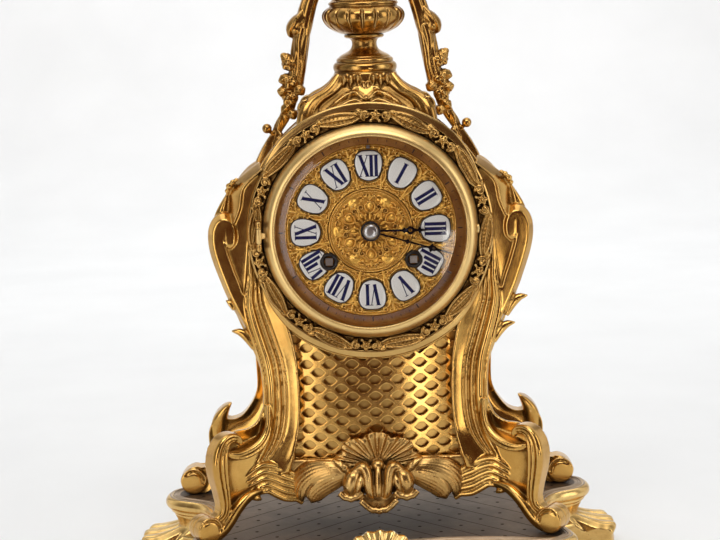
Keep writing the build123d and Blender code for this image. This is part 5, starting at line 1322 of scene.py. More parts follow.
# ------------------------------------------------------------------ side panels with a moulded frame, flared at the foot between the legs
side_c = cr([(62.6, 254.6), (69, 252), (76, 247), (84, 237), (90.4, 226), (92, 212), (90, 200), (85, 185), (77.5, 166), (72.5, 154), (66.5, 138), (64.6, 123), (66, 111), (68.4, 104.4), (71.6, 99.6)], 8)
sn = np.gradient(side_c, axis=0)
sn = unit(np.stack([-sn[:, 1], sn[:, 0]], 1))
sn = np.where(sn[:, :1] + sn[:, 1:] * 0.35 < 0, -sn, sn)
sec = [(-26, 0.0), (-25, 0.9), (-22, 1.2), (-19.5, 0.9), (-18.5, 0.0), (-17.5, -0.5), (-16.5, 0.1), (-15.5, -0.6), (-12, -1.0), (0, -1.3), (20, -1.4), (44, -1.2), (52, -0.8), (55, 0.2), (56, -0.4), (58, 0.6), (62, 1.0), (66, 0.9), (68.8, 0.2), (69, -0.6)]
sec = cr(sec, 2)
rows = []
for (c, nrm) in zip(side_c, sn):
    f = np.array([[c[0] + nrm[0] * h, y, c[1] + nrm[1] * h] for y, h in sec])
    b = np.array([[c[0] - nrm[0] * 2.8, 69, c[1] - nrm[1] * 2.8], [c[0] - nrm[0] * 2.8, -26, c[1] - nrm[1] * 2.8]])
    rows.append(np.concatenate([f, b]))
sp = M().grid(np.stack(rows), cv=True, caps=True)
# raised cartouche and husks on the side
idx = np.linspace(24, 84, 40).astype(int)
for sgn in (1, -1):
    rows = []
    for j, i in enumerate(idx):
        t = j / (len(idx) - 1)
        y = 19 + sgn * (22 * math.sin(pi * t) ** 0.7 * (0.8 + 0.2 * math.cos(2 * pi * t)))
        c, nrm = side_c[i], sn[i]
        rows.append((c[0] - nrm[0] * 0.8, y, c[1] - nrm[1] * 0.8, 1.5, 2.0))
    R_ = np.array(rows)
    Cc = R_[::3]
    strand(sp, Cc, "round", n=4, ref=(1, 0, 0.2), back=0.8)
for j, i in enumerate((40, 47, 54, 61, 68)):
    c, nrm = side_c[i], sn[i]
    o = np.array([c[0], 19.0, c[1]])
    n3 = np.array([nrm[0], 0, nrm[1]])
    t3 = np.array([-nrm[1], 0, nrm[0]])
    for s in (1, -1):
        leaf(sp, [(*(o - t3 * 4 - n3 * 0.6), 0.6, 0.6), (*(o + t3 * 0 + [0, s * 3.4, 0] - n3 * 0.4), 2.2, 1.2), (*(o + t3 * 5 + [0, s * 6.0, 0] - n3 * 0.4), 2.0, 1.1), (*(o + t3 * 9 + [0, s * 6.6, 0] - n3 * 0.6), 0.3, 0.4)], n=5, m=11, lobes=3, ref=tuple(n3), thick=1.2)
    ball(sp, o - t3 * 4 + n3 * 0.2, 1.7, 8, 10)
sl = M().join(sp, mirror=True)
build("side_panel_right", sp, GILT, "case", ["side_panel_right"], voxel=0.75, smooth=4)
build("side_panel_left", sl, GILT, "case", ["side_panel_left"], voxel=0.75, smooth=4)

# ------------------------------------------------------------------ rear legs
rl = M()
outer = cr([(73.6, 152), (74.6, 135), (74.0, 113), (76.4, 103), (81.4, 95.4), (85.6, 91.4), (90.6, 89.6), (96.0, 90.0), (101.0, 89.4), (104.6, 85.8), (106.2, 80), (105.8, 72), (105.4, 66), (107.0, 61.0), (110.6, 58.4), (115.6, 59.6), (121.6, 57.0), (125.4, 51.0), (122.6, 44.6), (116.4, 42.4)], 7)
inner = cr([(64.4, 152), (62.8, 135), (62.8, 118), (65.4, 104), (69.6, 92), (76, 84.6), (83, 81.4), (88.6, 79.6), (92.4, 76.0), (94.6, 71.0), (96.2, 65), (97.6, 58.6), (100.2, 52.0), (103.6, 46.4), (108.6, 42.8), (116.4, 42.4)], 9)
n_ = 140


def resample(P, n):
    L = np.concatenate([[0], np.cumsum(np.linalg.norm(np.diff(P, axis=0), axis=1))])
    t = np.linspace(0, L[-1], n)
    return np.stack([np.interp(t, L, P[:, i]) for i in range(P.shape[1])], 1)


O_, I_ = resample(outer, n_), resample(inner, n_)
t = np.linspace(0, 1, 15)
front = O_[:, None] * (1 - t[None, :, None]) + I_[:, None] * t[None, :, None]
dish = 2.6 * np.sin(pi * np.clip(t * 0.92 + 0.04, 0, 1)) ** 0.9
T_ = np.stack([front[..., 0], np.broadcast_to(53.0 + dish, front.shape[:2]), front[..., 1]], -1)
B_ = T_.copy()
B_[..., 1] = 67.0 - 0.6 * dish
rl.sheet(T_, B_)
# wave-like horn curling up from the shoulder of the leg
strand(rl, [(99.6, 55.6, 78.0, 4.6, 1.2), (99.6, 55.4, 84.6, 5.0, 2.2), (98.2, 54.8, 90.4, 4.2, 2.8), (95.6, 54.2, 95.0, 2.9, 2.6), (92.8, 53.6, 98.4, 1.5, 1.8), (90.8, 53.2, 100.4, 0.3, 0.6)], "soft", n=8, m=15, back=3.6)
volute(rl, np.array([116.8, 60.5, 50.4]), np.array([1.0, 0, 0]), up, np.array([0, -1.0, 0]), 8.2, 9.2, -9.0)
rl.move(lambda V: np.stack([V[:, 0], V[:, 1], np.maximum(V[:, 2], 42.0)], 1))
ll = M().join(rl, mirror=True)
build("rear_leg_right", rl, GILT, "case", ["rear_leg_right"], voxel=0.56, smooth=3)
build("rear_leg_left", ll, GILT, "case", ["rear_leg_left"], voxel=0.56, smooth=3)

# ------------------------------------------------------------------ mouldings on the back
bk = M()
arc_ = np.radians(np.linspace(0, 56, 15))
edge_ = [(68.0 * math.sin(q_), ZD + 68.0 * math.cos(q_)) for q_ in arc_]
edge_ += [(66.5, 248.4), (73.0, 243.6), (80.0, 235.0), (86.0, 225.0), (87.6, 212), (85.6, 200.6), (80.8, 186.6), (73.4, 168), (68.4, 156), (60.6, 140), (59.0, 123), (62.0, 105), (66.0, 93.6), (71.2, 85.6), (68.0, 83.6), (50, 83.4), (25, 83.4), (0, 83.4)]
for d_, w_, h_ in ((0.0, 1.7, 1.7), (4.0, 0.8, 0.9)):
    E_ = resample(np.array(edge_), 90)
    t_ = unit(np.gradient(E_, axis=0))
    E_ = E_ + np.stack([t_[:, 1], -t_[:, 0]], 1) * -d_ * (1 if (t_[10, 1] * E_[10, 0] - t_[10, 0] * (E_[10, 1] - ZD)) < 0 else -1)
    E_[0, 0] = -1.0
    E_[-1, 0] = -1.0
    strand(bk, [(x_, 71.6, z_, w_, h_) for x_, z_ in E_], "round", n=2, m=9, ref=(0, 1, 0), back=0.6)
bk2 = M().join(bk).join(bk, mirror=True)
build("case_back_border", bk2, GILT, "case", [], sharp=60)
dr = M()
faced(dr, cr([(49.8, 74.2), (50.2, 75.0), (51.0, 75.4), (51.8, 74.9), (52.6, 75.2), (53.6, 75.9), (54.8, 75.9), (55.6, 75.1), (55.7, 74.0), (52.6, 73.8)], 4, True), 200)
faced(dr, cr([(26.6, 74.2), (27.0, 74.9), (27.6, 75.1), (28.2, 74.9), (28.6, 74.2), (27.6, 74.0)], 3, True), 120)
build("rear_door_ring", dr, BRASS, "rear_door", [], sharp=50)

# ------------------------------------------------------------------ apron: fan, fluted drop and feathered wings
ap = M()


def ybow(x):
    return -44.5 + np.asarray(x) ** 2 / 280.0


nv, nu = 161, 30
v = np.linspace(-1, 1, nv)
ph = pi / 2 + v * np.radians(104)
G, B = [], []
lob = np.abs(np.cos(pi * 2.5 * v))
for t in np.linspace(0, 1, nu):
    R = 21.8 * (0.83 + 0.17 * lob ** 0.7) * (1 - 0.04 * np.abs(v))
    r = 3.0 + (R - 3.0) * t
    rib = np.cos(pi * 20 * v) * 0.72 * min(1, t * 2.2)
    lobe = 2.5 * (lob ** 1.3 - 0.5) * t
    rise = 1.0 + 3.4 * t ** 1.4 - 1.6 * max(0, t - 0.85) * 6
    x, z = r * np.cos(ph) * 1.30, 79.6 + r * np.sin(ph) * 0.97
    y = -37.6 - rise - lobe - rib + 0.003 * x * x
    G.append(np.stack([x, y, z], 1))
    B.append(np.stack([x, y + 2.2 + 1.5 * (1 - t), z], 1))
ap.sheet(np.stack(G), np.stack(B))

# drop: middle tube between two deep slots, narrow tubes, swelling side lobes and a frilled cup below
plate(ap, [cr([(0, 77.4), (9, 77.6), (16.8, 75.5), (18.5, 71), (13, 65.5), (0, 63.5), (-13, 65.5), (-18.5, 71), (-16.8, 75.5), (-9, 77.6)], 6, closed=True)], -43.6, -33.0, 1.4, 3)
strand(ap, [(0, -42.6, 80.6, 1.6, 2.0), (0, -44.4, 77.0, 2.3, 2.8), (0, -45.6, 72.6, 2.6, 3.2), (0, -46.4, 67.4, 2.6, 3.2), (0, -46.6, 63.8, 2.0, 2.4)], "round", n=7, m=13, back=0.6)
ball(ap, (0, -41.4, 80.6), 3.8, 14, 18, (1.1, 0.9, 1))
for s in (1, -1):
    # narrow tube that begins as a brow over the lobe and runs down beside the slot
    strand(ap, [(s * 13.8, -44.4, 78.6, 1.2, 1.6), (s * 11.8, -46.0, 81.0, 2.2, 2.8), (s * 8.8, -46.8, 81.4, 2.9, 3.4), (s * 6.9, -47.2, 78.8, 3.0, 3.7), (s * 6.2, -47.6, 74.8, 2.9, 3.7), (s * 5.8, -47.8, 70.2, 2.7, 3.5), (s * 4.8, -47.6, 65.6, 2.2, 2.9), (s * 3.2, -47.0, 62.8, 1.1, 1.7)], "round", n=7, m=11, back=1.4)
    # swelling lobe, folded once along its length
    strand(ap, [(s * 9.8, -43.0, 79.8, 2.2, 2.2), (s * 11.8, -45.0, 78.0, 4.0, 3.6), (s * 14.0, -46.6, 74.8, 5.8, 5.2), (s * 15.0, -47.0, 71.0, 6.0, 5.2), (s * 15.4, -46.4, 67.4, 4.6, 4.0), (s * 15.0, -45.2, 65.0, 2.0, 2.0)], "round", n=8, m=15, back=1.0,
           profile=np.array([[-1, -0.3], [-0.97, 0.2], [-0.85, 0.55], [-0.62, 0.82], [-0.35, 0.96], [-0.05, 1.0], [0.2, 0.9], [0.34, 0.66], [0.42, 0.56], [0.52, 0.64], [0.68, 0.72], [0.84, 0.58], [0.95, 0.3], [1.0, -0.2]]) * [s, 1])


def cup(mesh, x0, z0, y0, w0, w1, L, out, lean, scal, hollow):
    """frilled cup: opens upwards and forwards, thick scalloped lip"""
    tt, uu = np.linspace(0, 1, 26), np.linspace(-1, 1, 71)
    T_, U = np.meshgrid(tt, uu, indexing="ij")
    w = w0 + (w1 - w0) * T_ ** 0.7
    frill = np.cos(pi * scal * U)
    X = x0 + U * w * (1 - 0.05 * frill * T_) + lean * T_
    Zz = z0 - L * T_ ** 0.8 * (1 - 0.55 * np.abs(U) ** 2.4) - 0.30 * frill * T_ ** 2
    Yy = y0 - out * T_ ** 1.2 * (1 - 0.25 * U ** 2) + hollow * np.sin(pi * np.clip(T_ * 0.95, 0, 1)) * (1 - U ** 2) - 0.16 * frill * T_ ** 2
    top = np.stack([X, Yy, Zz], -1)
    bot = top + np.stack([0 * X, 2.6 + 0.6 * T_, -1.4 * T_], -1)
    mesh.sheet(top, bot)
    strand(mesh, [(p[0], p[1] + 0.6, p[2] - 0.3, 1.9, 1.9) for p in top[-1][::2]], "tube", n=2, m=10, ref=(0, -1, 0.3))
    return mesh


cup(ap, 0, 66.8, -45.8, 5.6, 10.0, 10.2, 6.6, 0.0, 5, 3.0)
for s in (1, -1):
    cup(ap, s * 14.2, 69.0, -44.6, 3.8, 6.2, 5.6, 4.4, s * 2.0, 3, 1.4)
    # wing: one broad feathered leaf sweeping out and down to two rounded tips
    E1 = cr([(15.0, 79.6), (19.6, 82.2), (26.0, 83.8), (34.0, 84.0), (42.6, 82.0), (49.2, 76.6), (52.2, 69.4), (51.6, 62.6), (48.2, 58.2)], 8)
    E2 = cr([(15.0, 73.6), (17.4, 71.4), (20.0, 69.4), (22.6, 67.8), (25.4, 66.0), (28.4, 64.0), (31.4, 61.8), (34.2, 59.6), (37.0, 57.6)], 8)
    nq = 63
    vv = np.linspace(0, 1, nq)
    V_ = vv[None, :]
    W = E1[:, None] * (1 - vv)[None, :, None] + E2[:, None] * vv[None, :, None]
    # lines fan out a little and the end is notched between the tips
    u_ = np.linspace(0, 1, len(W))[:, None]
    D_ = unit(np.gradient(W, axis=0))
    notch = 3.6 * np.exp(-((V_ - 0.50) / 0.13) ** 2) + 1.3 * np.exp(-((V_ - 0.0) / 0.10) ** 2) + 1.2 * np.exp(-((V_ - 1.0) / 0.10) ** 2)
    W = W - D_ * (notch * np.clip((u_ - 0.6) / 0.4, 0, 1) ** 1.5)[..., None]
    fade = np.clip(u_ / 0.14, 0, 1) * np.clip((1.0 - u_) / 0.02, 0.4, 1)
    line = np.abs(np.sin(pi * (12.0 * V_ + 0.35 * np.sin(3 * pi * u_)))) ** 0.9
    stri = 0.40 * (line - 0.6) * fade
    split = 1.5 * np.exp(-((V_ - 0.50) / 0.035) ** 2) * np.clip((u_ - 0.45) / 0.4, 0, 1)
    crown = 5.2 * np.sin(pi * np.clip(0.06 + 0.88 * V_, 0, 1)) ** 0.75 * (0.55 + 0.45 * np.sin(pi * np.clip(0.15 + 0.7 * u_, 0, 1)))
    tipr = 2.4 * np.clip((u_ - 0.86) / 0.14, 0, 1) ** 2
    T3 = np.stack([s * W[..., 0], ybow(W[..., 0]) + 3.6 - crown - stri + split + tipr, W[..., 1]], -1)
    B3 = T3.copy()
    B3[..., 1] = np.maximum(T3[..., 1] + 2.8, ybow(W[..., 0]) + 4.6)
    ap.sheet(T3, B3)
    # short leaf where wing and fan meet
    leaf(ap, [(s * 16.0, -43.4, 77.6, 1.4, 0.9), (s * 19.6, -44.6, 80.6, 2.6, 1.4), (s * 23.4, -43.8, 83.6, 2.0, 1.2), (s * 26.2, -42.4, 85.4, 0.5, 0.6)], n=8, m=19, lobes=3, vein=0.4, veins=5, thick=2.4)
# low rail behind the ornament
plate(ap, [both(np.array([(0, 83.6), (54.4, 83.6), (54.4, 79), (50, 73.6), (42, 71), (30, 74), (0, 78)], float)[::-1])], -33.0, -28.6, 1.6, 4)
build("apron_shell", ap, GILT_APRON, "case", ["apron_shell"], voxel=0.46, smooth=3)

# ------------------------------------------------------------------ pedestal
ped_w = cr([(41, 272), (40.4, 280), (39.6, 285), (37.4, 289), (33.4, 292.6), (28.0, 295.6), (24.0, 299), (21.2, 303), (19.6, 305.6), (18.9, 307)], 5)
ped_d = cr([(33, 272), (32.4, 280), (31.6, 285), (29.8, 289), (27.2, 292.6), (24.4, 295.6), (22.2, 299), (20.4, 303), (19.4, 305.6), (18.9, 307)], 5)
fd = lambda z: np.interp(z, ped_d[:, 1], ped_d[:, 0])
back_ = lambda z: np.interp(z, [272, 279, 286, 299, 304, 307], [1.0, 0.97, 0.89, 0.88, 0.94, 1.0])
fw = lambda z: np.interp(z, ped_w[:, 1], ped_w[:, 0])
pe = M()
a = np.linspace(0, 2 * pi, 144, endpoint=False)
rows = []
for (w, z), (d, _) in zip(ped_w, ped_d):
    e = np.interp(z, [272, 296, 307], [7.0, 4.6, 2.4])
    r = (np.abs(np.cos(a)) ** e + np.abs(np.sin(a)) ** e) ** (-1 / e)
    zz = np.full_like(a, z)
    x, y = w * r * np.cos(a) * (0.3 + 0.7 * back_(z)), YU + d * r * np.sin(a) * back_(z)
    drum = np.sqrt(np.maximum(72.05 ** 2 - x ** 2, 0)) + ZD
    rows.append(np.stack([x, y, np.maximum(zz, np.minimum(drum - 0.4, 300))], 1))
for (r, z) in cr([(18.8, 307.3), (18.3, 307.7), (17.4, 307.9)], 2):
    rows.append(np.stack([r * np.cos(a), YU + r * np.sin(a), np.full_like(a, z)], 1))
pe.grid(np.stack(rows), cv=True, caps=True)
turned(pe, cr([(15, 307.0), (17.2, 307.6), (18.5, 308.5), (19.1, 310.2), (18.9, 312.0), (17.9, 313.3), (16.4, 313.8), (15, 313.9)], 4), n=96)
for sx in (1, -1):
    for sy in (1, -1):
        rows = []
        for z in (306.4, 303, 299, 295.4, 292.4, 289, 285.4, 281, 277):
            w, d = fw(z), fd(z)
            k = 0.80 if z > 300 else 0.9
            k = np.interp(z, [277, 292, 300, 309], [0.93, 0.91, 0.86, 0.78])
            rows.append((sx * w * k, YU + sy * d * k, z, np.interp(z, [277, 285, 295, 309], [4.0, 4.2, 3.4, 2.3]), np.interp(z, [277, 290, 309], [4.0, 4.2, 2.6])))
        strand(pe, rows, "round", n=5, ref=(sx * 0.55, sy * 0.8, 0.35), back=1.0)
        rows2 = [(x - sx * 5.0, y - sy * 0.1, z + 0.6, 1.0, 1.7) for (x, y, z, w_, h_) in rows]
        strand(pe, rows2, "round", n=5, ref=(sx * 0.3, sy * 0.9, 0.35), back=1.0)
        # foot of the corner rolls up into a volute
        yv = YU + sy * (fd(288) * 0.90 + 0.6)
        ball(pe, (sx * 35.4, yv - sy * 1.6, 287.4), 5.6, 14, 18, (1, 0.55, 1))
        P = spiral(sx * 35.4, 287.6, 5.0, 0.9, 100 if sx > 0 else 80, (100 - 560) if sx > 0 else (80 + 560), 30, 0.85)
        strand(pe, [(x, yv, z, 1.35 - 0.02 * i, 2.6) for i, (x, z) in enumerate(P)], "round", n=2, m=9, ref=(0, sy, 0.2), back=1.2)
        ball(pe, (sx * 35.4, yv + sy * 1.2, 287.6), 1.5, 8, 10)
        c = rows[-1]
        ball(pe, (c[0], c[1], 279.5), 3.4, 12, 16, (1, 1, 1.15))
for sy in (-1, 1):
    F = lambda x, z, o=0.0: (x, YU + sy * (fd(z) * back_(z) * (1 - 0.05 * (abs(x) / max(fw(z), 1)) ** 2) + o), z)
    ref = (0, sy, 0.45)
    # middle palmette
    for j, ang in enumerate((-52, -30, -10, 10, 30, 52)):
        q = math.radians(ang)
        L = 9.5 if abs(ang) < 40 else 7.0
        rows = []
        for k_, (f, w_, h_) in enumerate(((0.1, 0.7, 1.2), (0.45, 1.15, 2.1), (0.8, 1.15, 2.1), (1.0, 0.5, 1.0))):
            rows.append((*F(math.sin(q) * L * f, 293.0 + math.cos(q) * L * f, 0.2), w_, h_))
        strand(pe, rows, "round", n=5, m=7, ref=ref)
    ball(pe, F(0, 292.8, 0.8), 1.7, 10, 12)
    for s in (1, -1):
        # spreading leaves below the palmette
        leaf(pe, [(*F(s * 1.5, 292.0, 0.6), 1.4, 1.2), (*F(s * 6.5, 296.0, 1.4), 2.8, 2.0), (*F(s * 12.5, 294.0, 1.6), 2.8, 2.1), (*F(s * 18.5, 290.0, 1.3), 1.9, 1.6), (*F(s * 23, 287.4, 0.6), 0.4, 0.6)], n=7, m=15, lobes=4, ref=ref, vein=0.4, thick=2.2)
        strand(pe, [(*F(s * 1.0, 289.4, 0.3), 1.0, 1.6), (*F(s * 7, 291.6, 0.6), 1.4, 2.2), (*F(s * 14, 289.0, 0.6), 1.5, 2.3), (*F(s * 21, 285.4, 0.4), 1.4, 2.0), (*F(s * 27, 283.0, 0), 0.7, 1.0)], "round", n=6, ref=ref)
        P = spiral(s * 5.4, 297.0, 3.0, 0.7, -60 if s > 0 else 240, (-60 + 420) if s > 0 else (240 - 420), 20, 0.8)
        strand(pe, [(*F(x, z, 0.5), 1.05 - 0.02 * i, 1.9) for i, (x, z) in enumerate(P)], "round", n=2, m=7, ref=ref)
        # hanging leaves from the collar
        for x0, L in ((4.5, 5.0), (8.6, 7.0), (12.4, 6.0)):
            leaf(pe, [(*F(s * x0, 306.6, 0.2), 1.0, 1.0), (*F(s * x0 * 1.02, 306.6 - L * 0.5, 0.8), 1.7, 1.5), (*F(s * x0 * 1.06, 306.6 - L * 1.1, 0.4), 0.4, 0.7)], n=6, m=11, lobes=0, cut=0.0, ref=ref, vein=0.25, thick=1.6)
        # side clusters
        flower(pe, F(s * 30.5, 288.4, 0.6), 2.6, 5, ref=ref, h=1.2)
        leaf(pe, [(*F(s * 24, 284, 0.2), 0.8, 0.6), (*F(s * 29, 284.6, 0.7), 2.4, 1.2), (*F(s * 34.5, 282.0, 0.5), 1.8, 1.0), (*F(s * 38, 279.5, 0.2), 0.3, 0.4)], n=6, m=13, lobes=3, ref=ref, vein=0.3, thick=1.2)
fwb = lambda z: fw(z) * (0.3 + 0.7 * back_(z)) - 0.5
for sx in (1, -1):
    for z0 in (300, 295, 290):
        for s in (1, -1):
            leaf(pe, [(sx * fwb(z0 + 3), YU + s * 1.0, z0 + 3, 0.6, 0.6), (sx * (fwb(z0 - 1) + 0.4), YU + s * 5.0, z0 - 1, 2.0, 1.2), (sx * fwb(z0 - 5), YU + s * 9.5, z0 - 5, 0.4, 0.5)], n=6, m=11, lobes=3, ref=(sx, 0, 0.6), vein=0.3, thick=1.2)
pe.move(lambda V: np.stack([V[:, 0], V[:, 1], np.maximum(V[:, 2], np.sqrt(np.maximum(71.2 ** 2 - V[:, 0] ** 2, 0)) + ZD)], 1))
build("top_pedestal", pe, GILT_DEEP, "case", ["top_pedestal"], voxel=0.5, smooth=1)

# ------------------------------------------------------------------ urn
uf = M()
turned(uf, cr([(2.2, 313.6), (15.5, 313.6), (16.8, 314.2), (17.0, 315.2), (16.2, 316.2), (15.4, 316.6), (15.0, 317.2), (13.2, 318.4), (10.4, 319.8), (8.4, 321.4), (7.5, 323.4), (7.4, 325.2), (8.0, 326.8), (9.0, 327.6), (10.6, 327.9), (11.6, 328.4), (11.8, 329.2), (11.0, 329.9), (2.2, 330.0)], 4), n=96)
build("urn_foot", uf, GILT_DEEP, "case", ["urn_foot"], sharp=50)
ub = M()
prof = cr([(2.2, 330), (9.6, 330), (13.4, 330.6), (17.4, 332.2), (21.0, 334.6), (23.6, 337.8), (24.5, 340.8), (23.9, 343.4), (22.0, 345.6), (20.4, 346.6), (20.2, 347.4), (20.8, 348.2), (20.4, 349.2), (18.8, 350.4), (17.6, 353), (16.6, 356.4), (16.3, 359.2), (16.8, 362), (18.2, 364.6), (19.8, 366.0), (20.8, 366.8), (21.0, 368.4), (20.8, 370.2), (20.0, 371.0), (2.2, 371.0)], 5)


def gadroon(R, Z, A):
    k = np.clip((Z - 331.4) / 3.0, 0, 1) * np.clip((346.2 - Z) / 2.0, 0, 1)
    f = np.abs(np.sin(9 * A + 0.35))
    ridge = np.exp(-(f / 0.13) ** 2)
    groove = np.exp(-((f - 0.27) / 0.10) ** 2)
    return R * (1 + k * (0.012 * (f - 0.6) - 0.026 * groove + 0.030 * ridge)), Z


turned(ub, prof, n=432, lobes=gadroon)
build("urn_body", ub, GILT_DEEP, "case", ["urn_body"], sharp=60)
uc = M()


def cover_flutes(R, Z, A):
    k = np.clip((Z - 373.5) / 1.5, 0, 1) * np.clip((383 - Z) / 2, 0, 1)
    k2 = np.clip((Z - 388.5) / 2.5, 0, 1) * np.clip((404 - Z) / 4, 0, 1)
    return R * (1 + 0.05 * k * (np.abs(np.sin(8 * A)) ** 0.6 - 0.7) + 0.07 * k2 * np.cos(8 * A + Z * 0.16)), Z


turned(uc, cr([(0.5, 371.0), (19.8, 371.0), (20.4, 371.8), (20.0, 373.0), (18.4, 374.6), (15.5, 376.8), (11.5, 379.4), (7.6, 382.4), (5.6, 384.4), (4.8, 386.0), (6.4, 386.8), (6.4, 387.8), (5.4, 388.4), (7.2, 389.8), (8.8, 393), (8.6, 396.6), (6.6, 400.8), (4.0, 404.4), (1.6, 407.0), (0.1, 408.0)], 5), n=256, lobes=cover_flutes)
build("urn_cover", uc, GILT_DEEP, "case", ["urn_cover"], sharp=60)

# ------------------------------------------------------------------ garlands
ga = M()
Y = YU
# broad smooth bands from the urn handle down to the roll
strand(ga, [(17.0, Y, 369.6, 2.0, 2.6), (22.2, Y - 1.0, 366.0, 3.0, 3.2), (27.0, Y - 1.6, 358.6, 3.6, 3.4), (30.6, Y - 1.8, 350.4, 3.8, 3.4), (33.0, Y - 1.8, 342.6, 3.9, 3.4), (34.6, Y - 1.4, 334.6, 3.6, 3.2), (35.6, Y - 1, 327, 2.2, 2.4)], "soft", n=8, back=1.6)
strand(ga, [(19.6, Y + 1.5, 371.0, 1.4, 1.8), (25.8, Y, 365.8, 2.0, 2.6), (31.4, Y - 0.6, 357.4, 2.2, 2.8), (35.2, Y - 0.8, 348.6, 2.4, 2.8), (37.6, Y - 0.8, 341.0, 2.6, 3.0), (39.4, Y - 0.6, 336.0, 2.6, 2.8)], "soft", n=8, back=1.6)
# thick leaf rolling outwards
strand(ga, [(33.6, Y - 0.4, 345.0, 2.2, 2.8), (36.8, Y - 1.2, 341.4, 3.3, 3.8), (40.2, Y - 1.6, 338.2, 4.0, 4.4), (43.0, Y - 1.4, 334.8, 3.6, 4.0), (43.8, Y - 0.8, 331.4, 2.2, 2.6), (42.6, Y - 0.4, 329.4, 0.8, 1.0)], "soft", n=8, m=13, back=1.2)
strand(ga, [(35.4, Y - 2.6, 346.0, 0.7, 1.0), (38.6, Y - 4.4, 342.4, 0.9, 1.4), (41.6, Y - 5.2, 338.6, 0.9, 1.5), (44.0, Y - 4.6, 334.4, 0.8, 1.3), (44.4, Y - 3.0, 331.0, 0.5, 0.8)], "round", n=6, m=9, back=1.2)
ball(ga, (40.4, Y - 0.4, 334.0), 4.2, 12, 16, (1, 1.3, 1))
# bark-like trunk of several strands
for j in range(8):
    q = 2 * pi * j / 8
    rows = []
    for k_, (x, z, w) in enumerate(((36.4, 335.0, 4.6), (37.6, 327.0, 5.4), (38.8, 319.0, 5.6), (40.4, 310.0, 5.2), (42.0, 301.0, 4.4))):
        qa = q + 0.24 * math.sin(k_ * 1.7 + j)
        rows.append((x + math.cos(qa) * w * 0.6, Y + math.sin(qa) * w * 0.6, z, 2.1 + 0.4 * math.sin(j * 2.3 + k_), 2.3 + 0.4 * math.cos(j * 3.1 + k_)))
    strand(ga, rows, "tube", n=6, m=6, ref=(0.2, -1, 0))
# leaves and blossoms in tight clusters
cl = [(45.6, 314.0, 4.4), (45.6, 303.6, 4.8), (46.0, 293.6, 4.6)]
for j, (x, z, r) in enumerate(cl):
    ball(ga, (x - 0.8, Y, z), r * 1.05, 10, 12)
    for dy, rf in ((-3.4, (0.25, -1, 0.15)), (3.4, (0.25, 1, 0.15))):
        flower(ga, (x, Y + dy, z), r, 5, ref=rf, turn=j * 0.7, h=2.0)
for j, (x, z, dx, dz) in enumerate(((42.6, 313.0, 7.4, 7.0), (44.6, 306.4, 7.4, -3.0), (41.6, 301.0, -4.4, -6.0), (46.4, 297.0, 6.6, 1.0), (45.0, 290.0, 6.0, -5.4), (45.4, 286.6, -2.4, -6.0))):
    for dy, rf in ((-3.0, (0.1, -1, 0.1)), (3.0, (0.1, 1, 0.1))):
        leaf(ga, [(x, Y + dy, z, 1.4, 0.8), (x + dx * 0.4, Y + dy * 1.2, z + dz * 0.4, 3.6, 1.8), (x + dx * 0.8, Y + dy, z + dz * 0.8, 3.0, 1.5), (x + dx, Y + dy * 0.8, z + dz, 0.7, 0.6)], n=5, m=13, lobes=3, ref=rf, vein=0.4, thick=2.2)
strand(ga, [(42.4, Y, 306, 4.2, 4.2), (44.0, Y, 297, 4.0, 4.0), (46.0, Y, 288, 3.4, 3.4), (49.2, Y, 281, 2.8, 2.8), (53.2, Y, 274.4, 2.4, 2.4), (57.2, Y, 268.4, 2.4, 2.4), (60.6, Y, 262.8, 2.6, 2.6)], "tube", n=6, m=8)
for j in range(4):
    strand(ga, [(47.8 + 1.6 * math.sin(j * 1.6), Y + 2.4 * math.cos(j * 1.6), 286.6, 1.4, 1.5), (51.6 + 1.9 * math.sin(j * 1.6 + 1.2), Y + 2.3 * math.cos(j * 1.6 + 1.2), 278.8, 1.5, 1.6), (55.4 + 1.5 * math.sin(j * 1.6 + 2.4), Y + 2.1 * math.cos(j * 1.6 + 2.4), 271.8, 1.2, 1.3)], "tube", n=6, m=6)
# berry, husk and the bar that lands on the shoulder
ball(ga, (60.0, Y - 3.0, 275.6), 3.0, 14, 18)
strand(ga, [(55.8, Y - 0.6, 270.8, 1.3, 1.3), (57.6, Y - 1.8, 273.0, 1.2, 1.2), (59.0, Y - 2.4, 274.4, 1.0, 1.0)], "tube", n=4, m=6)
leaf(ga, [(53.6, Y - 2.0, 274.6, 1.2, 0.8), (52.0, Y - 3.0, 270.6, 2.8, 1.5), (54.6, Y - 2.8, 265.8, 2.6, 1.3), (58.6, Y - 2.0, 262.6, 0.7, 0.6)], n=6, m=13, lobes=3, ref=(-0.3, -1, 0), vein=0.4, thick=2.0)
strand(ga, [(56.6, Y, 270.4, 2.4, 2.2), (60.0, Y, 264.8, 3.4, 2.6), (63.2, Y, 259.2, 3.7, 2.6), (65.6, Y, 254.8, 3.4, 2.4)], "flat", n=5, ref=(0.86, -0.1, 0.5), back=1.3)
ga.move(lambda V: np.where((np.hypot(V[:, 0], V[:, 2] - ZD) < 71.5)[:, None], np.stack([V[:, 0] / np.maximum(np.hypot(V[:, 0], V[:, 2] - ZD), 1e-6) * 71.5, V[:, 1], ZD + (V[:, 2] - ZD) / np.maximum(np.hypot(V[:, 0], V[:, 2] - ZD), 1e-6) * 71.5], 1), V))
gl_ = M().join(ga, mirror=True)
build("garland_right", ga, GILT_DEEP, "case", ["garland_right"], voxel=0.42, smooth=6)
build("garland_left", gl_, GILT_DEEP, "case", ["garland_left"], voxel=0.42, smooth=6)

